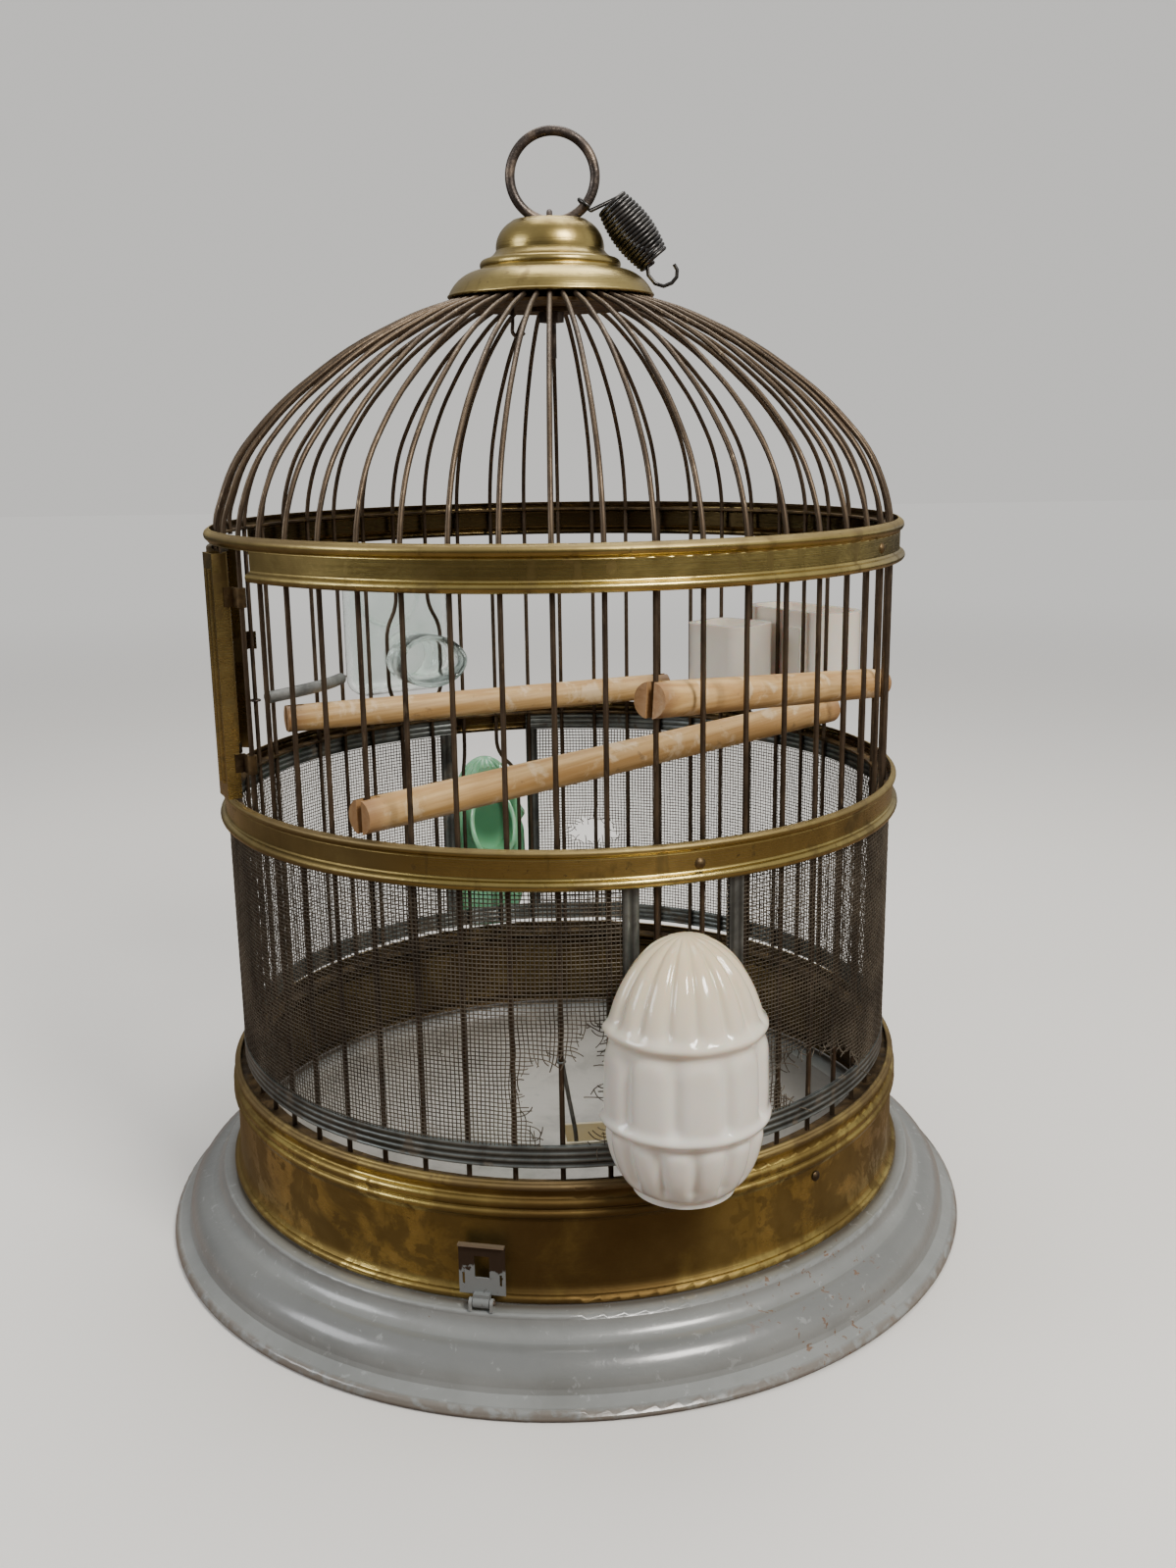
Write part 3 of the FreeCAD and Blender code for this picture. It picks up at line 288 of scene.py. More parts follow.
def clip_finish():
    """Paint below, bare brown metal above, with a ragged line between them."""
    made, tree, shader = new_material("clip_paint")
    ragged = maths(tree, "MULTIPLY", blotches(tree, 160.0, 4.0, 0.5, 0.3), 0.006)
    level = maths(tree, "ADD", height_of(tree), ragged)
    bare = step(tree, level, 0.0470, 0.0480)
    bare = maths(tree, "MAXIMUM", bare, blotches(tree, 330.0, 8.1, 0.36, 0.02))
    lip = step(tree, height_of(tree), 0.0532, 0.0538)
    metal_colour = mix(tree, lip, (0.060, 0.040, 0.026), (0.30, 0.24, 0.17))
    colour = mix(tree, bare, (0.165, 0.175, 0.174), metal_colour)
    finish_with(tree, shader, colour, step(tree, bare, 0.0, 1.0, 0.42, 0.5), bare, 0.0002,
                step(tree, bare, 0.0, 1.0, 0.0, 0.75))
    return made


dress(clip_finish(), "front_clip", "right_clip", "left_clip")

# ---------------------------------------------------------------- dark steel
# Steel wire gone dark: clip pins, the eye bolt with its nut, the swing hook, the hanging ring and
# the small hooks of the tube perch.


def dark_steel():
    """Brown-black steel with a little rubbed light metal."""
    made, tree, shader = new_material("dark_steel", Metallic=0.9)
    colour = mix(tree, blotches(tree, 120.0, 2.0, 0.45, 0.15), (0.075, 0.062, 0.055), (0.20, 0.155, 0.12))
    colour = mix(tree, blotches(tree, 600.0, 6.0, 0.30, 0.03), colour, (0.45, 0.40, 0.34))
    rough = step(tree, blotches(tree, 200.0, 1.0, 0.5, 0.2), 0.0, 1.0, 0.32, 0.55)
    finish_with(tree, shader, colour, rough, blotches(tree, 500.0, 3.0, 0.5, 0.3), 0.00015)
    return made


DARK_STEEL = dark_steel()
dress(DARK_STEEL, "clip_pins", "crown_bolt", "crown_nut", "swing_hook", "hanging_ring", "tube_perch_hooks")

# ---------------------------------------------------------------- brass bands and crown
# Spun sheet brass: the skirt, the two bands and the crown cap. The old lacquer has broken up, so
# bright metal, olive tarnish and brown stains lie side by side. Painted shade makes the inner faces
# nearly black and lies in ragged patches on the front and left of the skirt and the left of the bands.


def brass_sheet(label, bright, olive, brown, stained, shift, brushed, shade_spots=(), dull_edges=()):
    """Tarnished brass; stained is how much of it is brown, brushed how strong the spinning lines are; each
    dark spot is a patch of painted shade, and faces turned to the axis get painted shade.
    """
    made, tree, shader = new_material(label, Metallic=1.0)
    metal = mix(tree, blotches(tree, 13.0, shift, 0.5, 0.22), olive, bright)
    cloud = maths(tree, "MULTIPLY", blotches(tree, 75.0, shift + 2.0, 0.5, 0.22), 0.55)
    metal = mix(tree, cloud, metal, olive)
    patch = maths(tree, "MULTIPLY", blotches(tree, 34.0, shift + 4.0, stained, 0.05), 0.62)
    fine = maths(tree, "MULTIPLY", blotches(tree, 95.0, shift + 5.0, stained - 0.06, 0.04), 0.6)
    spot = maths(tree, "MULTIPLY", blotches(tree, 260.0, shift + 6.0, 0.32, 0.02), 0.75)
    stain = maths(tree, "MAXIMUM", maths(tree, "MAXIMUM", patch, fine), spot)
    tall = put(tree, "ShaderNodeMapping", {"Vector": place_of(tree), "Scale": (1.0, 1.0, 0.16)})
    runs = put(tree, "ShaderNodeTexNoise", {"Vector": tall.outputs[0], "Scale": 95.0, "Detail": 5.0})
    stain = maths(tree, "MAXIMUM", stain, step(tree, runs.outputs[0], 0.60, 0.68, 0.0, 0.45))
    # Painted shade: ragged dark patches round each listed spot, mixed in with the brown stains.
    for middle, reach, share in shade_spots:
        shadow = maths(tree, "MULTIPLY", near(tree, middle, reach), share)
        ragged = maths(tree, "MULTIPLY", shadow, blotches(tree, 28.0, shift + 8.0, 0.72, 0.2))
        stain = maths(tree, "MAXIMUM", stain, ragged)
    colour = mix(tree, stain, metal, brown)
    # Painted shade: faces turned towards the axis of the cage are darkened nearly to black.
    inner = maths(tree, "MULTIPLY", facing_in(tree), 0.88)
    colour = mix(tree, inner, colour, (0.055, 0.034, 0.018))
    for low, high in dull_edges:
        edge = between(tree, height_of(tree), low, low + 0.0012, high - 0.0004, high)
        edge = maths(tree, "MULTIPLY", edge, blotches(tree, 60.0, shift + 9.0, 0.66, 0.15))
        colour = mix(tree, maths(tree, "MULTIPLY", edge, 0.6), colour, (0.21, 0.155, 0.085))
        stain = maths(tree, "MAXIMUM", stain, edge)
    lines = put(tree, "ShaderNodeMapping", {"Vector": place_of(tree), "Scale": (6.0, 6.0, 900.0)})
    spin = put(tree, "ShaderNodeTexNoise", {"Vector": lines.outputs[0], "Scale": 3.0, "Detail": 3.0})
    spin = spin.outputs[0]
    rough = step(tree, stain, 0.0, 1.0, 0.22, 0.50)
    rough = maths(tree, "ADD", rough, maths(tree, "MULTIPLY", spin, 0.10 + brushed * 0.1))
    height = maths(tree, "ADD", maths(tree, "MULTIPLY", spin, brushed), blotches(tree, 60.0, 3.0, 0.5, 0.4))
    finish_with(tree, shader, colour, rough, height, 0.00025)
    return made


# Each dark spot is a patch of painted shade: its place, its reach and its share. Each dull edge: its lower
# and upper height.
SKIRT_SHADE_SPOTS = [((0.012, -0.149, 0.050), 0.080, 0.85), ((-0.14, -0.03, 0.05), 0.07, 0.6)]
SKIRT_EDGES = [(0.0735, 0.0790)]
BAND_SHADE_SPOTS = [((-0.11, -0.10, 0.30), 0.06, 0.6), ((-0.10, -0.11, 0.195), 0.07, 0.6)]
BAND_EDGES = [(0.2010, 0.2040), (0.3062, 0.3095)]
SKIRT_BRASS = brass_sheet("skirt_brass", (0.68, 0.52, 0.17), (0.29, 0.215, 0.060), (0.080, 0.042, 0.016),
                          0.50, 1.0, 0.25, SKIRT_SHADE_SPOTS, SKIRT_EDGES)
BAND_BRASS = brass_sheet("band_brass", (0.70, 0.56, 0.20), (0.31, 0.235, 0.080), (0.085, 0.055, 0.028),
                         0.40, 12.0, 0.15, BAND_SHADE_SPOTS, BAND_EDGES)
CROWN_BRASS = brass_sheet("crown_brass", (0.56, 0.44, 0.17), (0.29, 0.215, 0.075), (0.10, 0.065, 0.033),
                          0.34, 20.0, 0.4)
dress(SKIRT_BRASS, "skirt_band")
dress(BAND_BRASS, "middle_band", "upper_band")
dress(CROWN_BRASS, "crown_cap")


def dark_brass():
    """Brass left to go brown-black."""
    made, tree, shader = new_material("dark_brass", Metallic=0.9)
    colour = mix(tree, blotches(tree, 90.0, 1.0, 0.5, 0.15), (0.050, 0.034, 0.020), (0.17, 0.115, 0.055))
    rough = step(tree, blotches(tree, 240.0, 2.0, 0.5, 0.2), 0.0, 1.0, 0.38, 0.62)
    finish_with(tree, shader, colour, rough, blotches(tree, 300.0, 3.0, 0.5, 0.4), 0.0002)
    return made


DARK_BRASS = dark_brass()
dress(DARK_BRASS, "skirt_hoop", "middle_hoop", "upper_hoop", "band_rivets", "crown_plate", "crown_washer",
      "crown_collar", "door_knuckles")

# ---------------------------------------------------------------- cage wires
# Hard brass wire, brown with age and rubbed bright in short flecks along its length.


def wire_brown():
    """Brown tarnished wire with rubbed flecks drawn out along the wire."""
    made, tree, shader = new_material("wire_brown", Metallic=0.85)
    long_way = put(tree, "ShaderNodeMapping", {"Vector": place_of(tree), "Scale": (1.0, 1.0, 0.22)})
    fleck = put(tree, "ShaderNodeTexNoise", {"Vector": long_way.outputs[0], "Scale": 520.0, "Detail": 4.0})
    fleck = fleck.outputs[0]
    colour = mix(tree, blotches(tree, 40.0, 3.0, 0.5, 0.2), (0.070, 0.050, 0.034), (0.135, 0.098, 0.064))
    colour = mix(tree, step(tree, fleck, 0.62, 0.74, 0.0, 0.6), colour, (0.30, 0.23, 0.15))
    rough = step(tree, fleck, 0.3, 0.7, 0.55, 0.38)
    finish_with(tree, shader, colour, rough, fleck, 0.0002)
    return made


WIRE_BROWN = wire_brown()
dress(WIRE_BROWN, "cage_wires", "door_wires")

# ---------------------------------------------------------------- door
# Two ribbed stiles folded from sheet brass, joined by two rails and wires. Sleeves on one stile
# turn round a cage wire. The sheet is mottled brown with gold showing on the ribs.

DOOR_BRASS = brass_sheet("door_brass", (0.70, 0.54, 0.20), (0.34, 0.25, 0.095), (0.085, 0.055, 0.03),
                         0.45, 31.0, 0.1)
dress(DOOR_BRASS, "door_hinge_stile", "door_latch_stile", "door_rails", "door_latch")

# ---------------------------------------------------------------- seed guard screens
# Fine woven wire cloth tucked into the galvanised frame. It is torn in front, where the glass
# hood goes through, and on the right, with the loose wires curled at the edge of each hole.

MESH_RADIUS = 0.1436
MESH_INNER = 0.1423
MESH_LOW = 0.0872
MESH_HIGH = 0.1908
MESH_PITCH = 0.00162
MESH_WIRE = 0.00023
MESH_WEAVE = 0.00012
FRONT_EDGES = (11.9, 25.1)
REAR_EDGES = (-155.4, 187.4)
# Each hole: middle azimuth in degrees, middle height, half width in degrees, half height, slant.
TEARS = [
    (0.5, 0.104, 6.3, 0.021, -0.0006),
    (4.3, 0.124, 2.6, 0.014, 0.0),
    (46.0, 0.094, 12.0, 0.0140, -0.0009),
    (-17.5, 0.1238, 0.7, 0.0012, 0.0),
    (174.0, 0.131, 5.0, 0.0075, 0.0),
]


def on_circle(azimuth, radius, height):
    """A point at this azimuth in degrees from the front."""
    turn = math.radians(azimuth)
    return Vector((radius * math.sin(turn), -radius * math.cos(turn), height))


def tear_depth(azimuth, height):
    """Under one inside a hole, one at its ragged edge, more outside it."""
    nearest = 9.0
    for middle, level, half_width, half_height, slant in TEARS:
        across = (azimuth - middle) / half_width
        along = (height - level - slant * (azimuth - middle)) / half_height
        ragged = 0.22 * noise.noise(Vector((azimuth * 0.55, height * 260.0, middle)))
        nearest = min(nearest, math.hypot(across, along) + ragged)
    return nearest


def drift(azimuth, height):
    """How far the weave is pulled out of true here: a sideways and an upward shift, in metres."""
    depth = tear_depth(azimuth, height)
    pull = 0.0002 + 0.0016 * max(0.0, 1.0 - (depth - 1.0) / 0.9) if depth > 1.0 else 0.0018
    spot = Vector((azimuth * 0.16, height * 75.0, 0.7))
    return pull * noise.noise(spot), pull * noise.noise(spot + Vector((31.0, 0.0, 0.0)))


def mesh_point(azimuth, height, lift):
    """A point of the weave, lifted off the middle surface."""
    aside, up = drift(azimuth, height)
    return on_circle(azimuth + math.degrees(aside / MESH_RADIUS), MESH_RADIUS + lift, height + up)


def tubes(label, routes, radius, material, sides=0):
    """One mesh of round wires that follow routes of points; sides adds faces round each wire."""
    curve = bpy.data.curves.new(label, "CURVE")
    curve.dimensions = "3D"
    curve.bevel_depth = radius
    curve.bevel_resolution = sides
    curve.use_fill_caps = True
    for route in routes:
        spline = curve.splines.new("POLY")
        spline.points.add(len(route) - 1)
        for point, spot in zip(spline.points, route):
            point.co = (*spot, 1.0)
    shaped = bpy.data.objects.new(label + "_curve", curve)
    bpy.context.scene.collection.objects.link(shaped)
    depsgraph = bpy.context.evaluated_depsgraph_get()
    mesh = bpy.data.meshes.new_from_object(shaped.evaluated_get(depsgraph))
    mesh.name = label
    bpy.data.objects.remove(shaped)
    bpy.data.curves.remove(curve)
    mesh.materials.clear()
    mesh.materials.append(material)
    piece = bpy.data.objects.new(label, mesh)
    bpy.context.scene.collection.objects.link(piece)
    return piece


def curl(spot, way, dice):
    """A loose wire end that carries on from spot and bends as it goes, outside the upright wires."""
    bend = Vector((dice.uniform(-1, 1), dice.uniform(-1, 1), dice.uniform(-1, 1))) * dice.uniform(0.1, 0.75)
    way = way.normalized()
    route = []
    for _ in range(dice.randint(1, 9)):
        way = (way + bend * 0.6).normalized()
        spot = spot + way * 0.00085
        off_axis = math.hypot(spot.x, spot.y)
        if off_axis < MESH_INNER:
            spot = Vector((spot.x * MESH_INNER / off_axis, spot.y * MESH_INNER / off_axis, spot.z))
        route.append(spot.copy())
    return route


def whole_runs(spots, dice):
    """Break a row of (azimuth, height, lift) into runs outside the holes, with loose ends at each hole."""
    runs = []
    run = []
    torn = False
    for azimuth, height, lift in spots:
        if tear_depth(azimuth, height) > 1.0:
            point = mesh_point(azimuth, height, lift)
            if torn and len(run) == 1:
                run = curl(run[0], run[0] - point, dice)[::-1] + run
            run.append(point)
            continue
        if len(run) > 1:
            runs.append(run + curl(run[-1], run[-1] - run[-2], dice))
        run = []
        torn = True
    if len(run) > 1:
        runs.append(run)
    return runs


def woven_screen(start, end, dice):
    """The routes of all the upright and level wires of one screen."""
    turn = math.degrees(MESH_PITCH / MESH_RADIUS)
    columns = int((end - start) / turn)
    rows = int((MESH_HIGH - MESH_LOW) / MESH_PITCH)
    routes = []
    for column in range(columns + 1):
        azimuth = start + column * turn
        spots = [(azimuth, MESH_LOW + row * MESH_PITCH, MESH_WEAVE * (-1) ** (row // 2 + column))
                 for row in range(0, rows + 1, 2)]
        routes += whole_runs(spots, dice)
    for row in range(rows + 1):
        height = MESH_LOW + row * MESH_PITCH
        spots = [(start + column * turn, height, MESH_WEAVE * (-1) ** (column // 2 + row + 1))
                 for column in range(0, columns + 1, 2)]
        routes += whole_runs(spots, dice)
    return routes


def mesh_bronze():
    """Dark bronze wire, lighter where it is rubbed."""
    made, tree, shader = new_material("mesh_bronze", Metallic=0.7)
    colour = mix(tree, blotches(tree, 30.0, 2.0, 0.5, 0.2), (0.060, 0.050, 0.038), (0.165, 0.140, 0.105))
    rough = step(tree, blotches(tree, 60.0, 5.0, 0.5, 0.3), 0.0, 1.0, 0.45, 0.6)
    finish_with(tree, shader, colour, rough)
    return made


MESH_BRONZE = mesh_bronze()
dice = random.Random(7)
SCREENS = {"guard_screen_left": (REAR_EDGES[0], FRONT_EDGES[0]),
           "guard_screen_right": (FRONT_EDGES[1], REAR_EDGES[1])}
for name, (start, end) in SCREENS.items():
    routes = woven_screen(start, end, dice)
    woven = tubes(name.replace("guard_screen", "woven_screen"), routes, MESH_WIRE, MESH_BRONZE)
    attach(woven, "cage")
    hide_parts(name)

# ---------------------------------------------------------------- perches
# Bare pine dowels, slit at each end to grip a wire. They are honey coloured, scuffed and darker
# at the handled ends.


def turned_wood(label, node, shift):
    """Pine with its grain along the dowel."""
    low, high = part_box(node)
    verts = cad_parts[node].data.vertices
    middle = (low + high) / 2
    far = max(verts, key=lambda vert: (vert.co - middle).length).co
    axis = (far - middle).normalized()
    made, tree, shader = new_material(label, Coat_Weight=0.08, Coat_Roughness=0.4)
    turn = axis.to_track_quat("Z", "Y").inverted().to_euler()
    local = put(tree, "ShaderNodeMapping", {"Vector": place_of(tree), "Rotation": turn})
    grain_way = put(tree, "ShaderNodeMapping", {"Vector": local.outputs[0], "Location": (shift, shift, 0.0),
                                                "Scale": (1.0, 1.0, 0.045)})
    grain = put(tree, "ShaderNodeTexNoise", {"Vector": grain_way.outputs[0], "Scale": 420.0, "Detail": 6.0,
                                             "Roughness": 0.6, "Distortion": 0.3}).outputs[0]
    rings = put(tree, "ShaderNodeTexWave", {"Vector": grain_way.outputs[0], "Scale": 55.0, "Distortion": 5.0,
                                            "Detail": 3.0}).outputs["Fac"]
    colour = mix(tree, step(tree, grain, 0.35, 0.68), (0.53, 0.315, 0.110), (0.72, 0.485, 0.220))
    colour = mix(tree, maths(tree, "MULTIPLY", rings, 0.4), colour, (0.40, 0.19, 0.050))
    scuff = maths(tree, "MULTIPLY", blotches(tree, 70.0, shift, 0.42, 0.05), 0.6)
    colour = mix(tree, scuff, colour, (0.82, 0.66, 0.42))
    dirt = maths(tree, "MULTIPLY", blotches(tree, 150.0, shift + 3.0, 0.33, 0.04), 0.5)
    colour = mix(tree, dirt, colour, (0.20, 0.115, 0.06))
    reach = (far - middle).length
    along = put(tree, "ShaderNodeVectorMath", {0: place_of(tree), 1: tuple(middle)}, operation="DISTANCE")
    end_dirt = step(tree, along.outputs["Value"], reach - 0.012, reach - 0.001, 0.0, 0.7)
    colour = mix(tree, end_dirt, colour, (0.22, 0.11, 0.05))
    finish_with(tree, shader, colour, step(tree, grain, 0.3, 0.7, 0.62, 0.48), grain, 0.0005)
    return made


for number, node in enumerate(("perch_left", "perch_front", "perch_right")):
    dress(turned_wood("pine_" + node, node, number * 1.7), node)

# ---------------------------------------------------------------- tube perch
# A short bent zinc tube, dull grey with a bright worn end.


def zinc_tube():
    """Dull zinc."""
    made, tree, shader = new_material("zinc_tube", Metallic=0.6)
    colour = mix(tree, blotches(tree, 90.0, 2.0, 0.5, 0.2), (0.12, 0.125, 0.12), (0.27, 0.275, 0.26))
    finish_with(tree, shader, colour, step(tree, blotches(tree, 200.0, 1.0, 0.5, 0.3), 0, 1, 0.4, 0.65),
                blotches(tree, 260.0, 1.0, 0.5, 0.4), 0.0002)
    return made


dress(zinc_tube(), "tube_perch")

# ---------------------------------------------------------------- glass hoods
# Pressed opal glass seed hoods that hang outside the wires, one white and one green. Flutes run
# down from the crown to a raised ring, then come broad panels, a second ring and a lobed foot.

BELLY = 0.42
FOOT_WIDTH = 0.62
FOOT_RISE = 0.035
DOME_RIBS = 16
DOME_GROOVE = 0.0018
PANELS = 10
PANEL_TURN = 0.16
PANEL_GROOVE = 0.0020
FOOT_LOBES = 14
LOBE_GROOVE = 0.0023
RING_RELIEF = 0.0013
RING_WIDTH = 0.0021
RING_CLEARANCE = 0.0034


def side_at(rise):
    """Half width of a hood at this share of its height, as a share of the widest."""
    if rise > BELLY:
        return max(0.0, 1 - ((rise - BELLY) / (1 - BELLY)) ** 2.6) ** 0.5
    below = min(1.0, (BELLY - rise) / (BELLY - 0.02))
    return max(FOOT_WIDTH, 0.54 + 0.46 * (1 - below ** 2.4) ** 0.5)


def ribs(angle, count, width):
    """Broad ribs between rounded grooves, from zero in a groove to one on a rib."""
    return 1 - math.exp(-(math.cos(angle * count / 2) / width) ** 2)


def bump(value, middle, width):
    """A smooth hump."""
    return math.exp(-((value - middle) / width) ** 2)


def pressed_hood(label, azimuth, back, base, height, half, depth, rings, rows=120, columns=256):
    """A fluted half-egg with a flat back, made as rows of points from foot to crown."""
    centre_y = -(back + depth - half)
    upper, lower = rings
    verts = []
    for row in range(rows + 1):
        share = row / rows
        rise = share ** 1.15 if share < 0.5 else 1 - (1 - share) ** 1.6 * 0.5 ** 1.15 / 0.5 ** 1.6
        level = base + rise * height
        plain = side_at(rise) * half
        fade = min(1.0, plain / (0.55 * half))
        arch = 0.6 * bump(level, upper - 0.003, 0.004) + 0.35 * bump(level, lower - 0.003, 0.003)
        swell = max(0.0, min(1.0, (rise - FOOT_RISE) / 0.06))
        groove = 1 - max(bump(level, ring, RING_CLEARANCE) for ring in rings)
        for column in range(columns):
            angle = 2 * math.pi * column / columns
            if level > upper:
                reach = plain - DOME_GROOVE * groove * fade * (1 - ribs(angle, DOME_RIBS, 0.6))
            elif level > lower:
                reach = plain - PANEL_GROOVE * groove * (1 - ribs(angle + PANEL_TURN, PANELS, 0.42 + arch))
            else:
                reach = plain - LOBE_GROOVE * groove * swell * (1 - ribs(angle, FOOT_LOBES, 0.6 + arch))
            for ring in rings:
                reach += RING_RELIEF * bump(level, ring, RING_WIDTH)
                reach -= 0.0004 * bump(level, ring - 0.0036, 0.0016)
            x = reach * math.sin(angle)
            y = min(centre_y - reach * math.cos(angle), -back)
            verts.append((x, y, level))
    faces = []
    for row in range(rows):
        for column in range(columns):
            after = (column + 1) % columns
            faces.append((row * columns + column, row * columns + after,
                          (row + 1) * columns + after, (row + 1) * columns + column))
    faces.append(tuple(reversed(range(columns))))
    mesh = bpy.data.meshes.new(label)
    mesh.from_pydata(verts, [], faces)
    piece = bpy.data.objects.new(label, mesh)
    bpy.context.scene.collection.objects.link(piece)
    mesh.transform(Matrix.Rotation(math.radians(azimuth), 4, "Z"))
    close_and_smooth(piece, 60.0)
    return piece


def close_and_smooth(piece, angle):
    """Merge doubles, turn every face outwards and shade smooth except at sharp edges."""
    bpy.ops.object.select_all(action="DESELECT")
    bpy.context.view_layer.objects.active = piece
    piece.select_set(True)
    bpy.ops.object.mode_set(mode="EDIT")
    bpy.ops.mesh.select_all(action="SELECT")
    bpy.ops.mesh.remove_doubles(threshold=0.00001)
    bpy.ops.mesh.normals_make_consistent(inside=False)
    bpy.ops.object.mode_set(mode="OBJECT")
    bpy.ops.object.shade_smooth_by_angle(angle=math.radians(angle))
    piece.select_set(False)


def settle(piece):
    """Bring a piece's object back to the origin, with its place in its mesh."""
    bpy.context.view_layer.update()
    piece.data.transform(piece.matrix_world)
    piece.matrix_world = Matrix.Identity(4)


# Inside this distance from the axis a mouth is past the wires and may widen, over this run.
WIRE_PASS = 0.1410
FLARE_RUN = 0.006


def scoop(label, azimuth, outer, inner, low, high, half, lip, flare=0.0):
    """The open mouth between two wires: an oval tube cut back above its lower lip, wider past the wires."""
    bpy.ops.mesh.primitive_cylinder_add(vertices=48, radius=1.0, depth=1.0, end_fill_type="NOTHING",
                                        location=(0.0, -(outer + inner) / 2, (low + high) / 2),
                                        rotation=(math.radians(90), 0.0, 0.0))
    piece = bpy.context.object
    piece.name = label
    piece.data.name = label
    piece.scale = (half, (high - low) / 2, outer - inner)
    settle(piece)
    bpy.ops.object.mode_set(mode="EDIT")
    bpy.ops.mesh.select_all(action="SELECT")
    bpy.ops.mesh.bisect(plane_co=(0.0, -inner, low + lip), plane_no=(0.0, 1.0, 0.42),
                        use_fill=False, clear_inner=False, clear_outer=True)
    for depth in (WIRE_PASS, WIRE_PASS - FLARE_RUN / 2, WIRE_PASS - FLARE_RUN):
        bpy.ops.mesh.select_all(action="SELECT")
        bpy.ops.mesh.bisect(plane_co=(0.0, -depth, 0.0), plane_no=(0.0, 1.0, 0.0))
    bpy.ops.object.mode_set(mode="OBJECT")
    for vert in piece.data.vertices:
        vert.co.x *= 1 + flare * max(0.0, min(1.0, (WIRE_PASS + vert.co.y) / FLARE_RUN))
    wall = piece.modifiers.new("wall", "SOLIDIFY")
    wall.thickness = 0.0026
    wall.offset = -1.0
    soft = piece.modifiers.new("soft", "BEVEL")
    soft.width = 0.0011
    soft.segments = 3
    soft.limit_method = "ANGLE"
    for modifier in ("wall", "soft"):
        bpy.ops.object.modifier_apply(modifier=modifier)
    piece.data.transform(Matrix.Rotation(math.radians(azimuth), 4, "Z"))
    close_and_smooth(piece, 40.0)
    return piece


def joined(label, pieces):
    """Several meshes as one piece."""
    bpy.ops.object.select_all(action="DESELECT")
    for piece in pieces:
        piece.select_set(True)
    bpy.context.view_layer.objects.active = pieces[0]
    bpy.ops.object.join()
    whole = bpy.context.object
    whole.name = label
    whole.data.name = label
    whole.select_set(False)
    return whole


def opal_glass(label, colour, shade, crown, crown_height, tint, hollow=None):
    """Opal glass, clouded in its depth and yellowed towards its crown; hollow is the middle of its mouth,
    round which painted shade darkens the glass to deep green.
    """
    made, tree, shader = new_material(label, IOR=1.5, Coat_Weight=0.5, Coat_Roughness=0.04,
                                      Subsurface_Weight=0.25, Subsurface_Scale=0.004)
    body = mix(tree, blotches(tree, 30.0, 2.0, 0.5, 0.3), shade, colour)
    aged = step(tree, height_of(tree), crown_height - 0.055, crown_height, 0.0, tint)
    body = mix(tree, aged, body, crown)
    speck = maths(tree, "MULTIPLY", blotches(tree, 420.0, 4.0, 0.24, 0.02), 0.5)
    body = mix(tree, speck, body, crown)
    if hollow:
        # Painted shade: the inward-facing glass round the middle of the mouth is darkened to deep green, as
        # if one looked into the opening.
        depth = maths(tree, "MULTIPLY", near(tree, hollow, 0.019), facing_in(tree))
        body = mix(tree, maths(tree, "MULTIPLY", depth, 0.8), body, (0.03, 0.12, 0.055))
    rough = step(tree, blotches(tree, 80.0, 5.0, 0.5, 0.3), 0.0, 1.0, 0.10, 0.20)
    finish_with(tree, shader, body, rough, blotches(tree, 40.0, 1.0, 0.5, 0.5), 0.0002)
    return made


MILK_GLASS = opal_glass("milk_glass", (0.87, 0.835, 0.755), (0.80, 0.77, 0.695), (0.70, 0.55, 0.30),
                        0.174, 0.75)
GREEN_GLASS = opal_glass("green_glass", (0.27, 0.62, 0.36), (0.21, 0.52, 0.30), (0.35, 0.66, 0.42),
                         0.172, 0.1, (-0.0406, 0.1417, 0.139))

HOODS = [
    ("front_hood", "front_feeder", "milk_glass", MILK_GLASS, 18.0, 16.8,
     (0.1497, 0.0755, 0.0965, 0.0306, 0.034, (0.140, 0.106)), (0.1502, 0.1366, 0.101, 0.137, 0.0129, 0.011)),
    ("rear_hood", "rear_feeder", "green_glass", GREEN_GLASS, -164.0, -164.0,
     (0.1472, 0.078, 0.094, 0.0214, 0.030, (0.140, 0.108)), (0.1477, 0.1325, 0.119, 0.157, 0.0129, 0.010)),
]
for name, body, finish, glass, azimuth, hood_azimuth, hood_sizes, mouth_sizes in HOODS:
    egg = pressed_hood(name, hood_azimuth, *hood_sizes)
    mouth = scoop(name + "_mouth", azimuth, *mouth_sizes)
    hood = joined(name, [egg, mouth])
    hood.data.materials.clear()
    hood.data.materials.append(glass)
    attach(hood, body)
    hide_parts(body)

dress(opal_glass("cup_glass", (0.88, 0.85, 0.77), (0.80, 0.765, 0.68), (0.62, 0.50, 0.33), 0.275, 0.35),
      "inner_cup", "outer_cup")

# ---------------------------------------------------------------- clear glass feeder
# A flat pressed reservoir of clear glass with an oval trough that reaches in between two wires.


def clear_glass():
    """Clear, faintly green glass with water marks."""
    made, tree, shader = new_material("clear_glass", Transmission_Weight=1.0, IOR=1.48, Metallic=0.0)
    colour = mix(tree, blotches(tree, 60.0, 2.0, 0.5, 0.2), (0.86, 0.93, 0.90), (0.93, 0.97, 0.955))
    rough = step(tree, blotches(tree, 110.0, 4.0, 0.42, 0.05), 0.0, 1.0, 0.03, 0.22)
    finish_with(tree, shader, colour, rough, blotches(tree, 45.0, 1.0, 0.5, 0.5), 0.0006)
    return made


CLEAR_GLASS = clear_glass()
GLASS_AZIMUTH = -147.6
SLAB_HALF = 0.0288
SLAB_BACK = 0.1499
SLAB_FRONT = 0.1699
SLAB_LOW = 0.211
SLAB_HIGH = 0.286
RING_RADIUS = 0.0165
RING_HEIGHT = 0.262


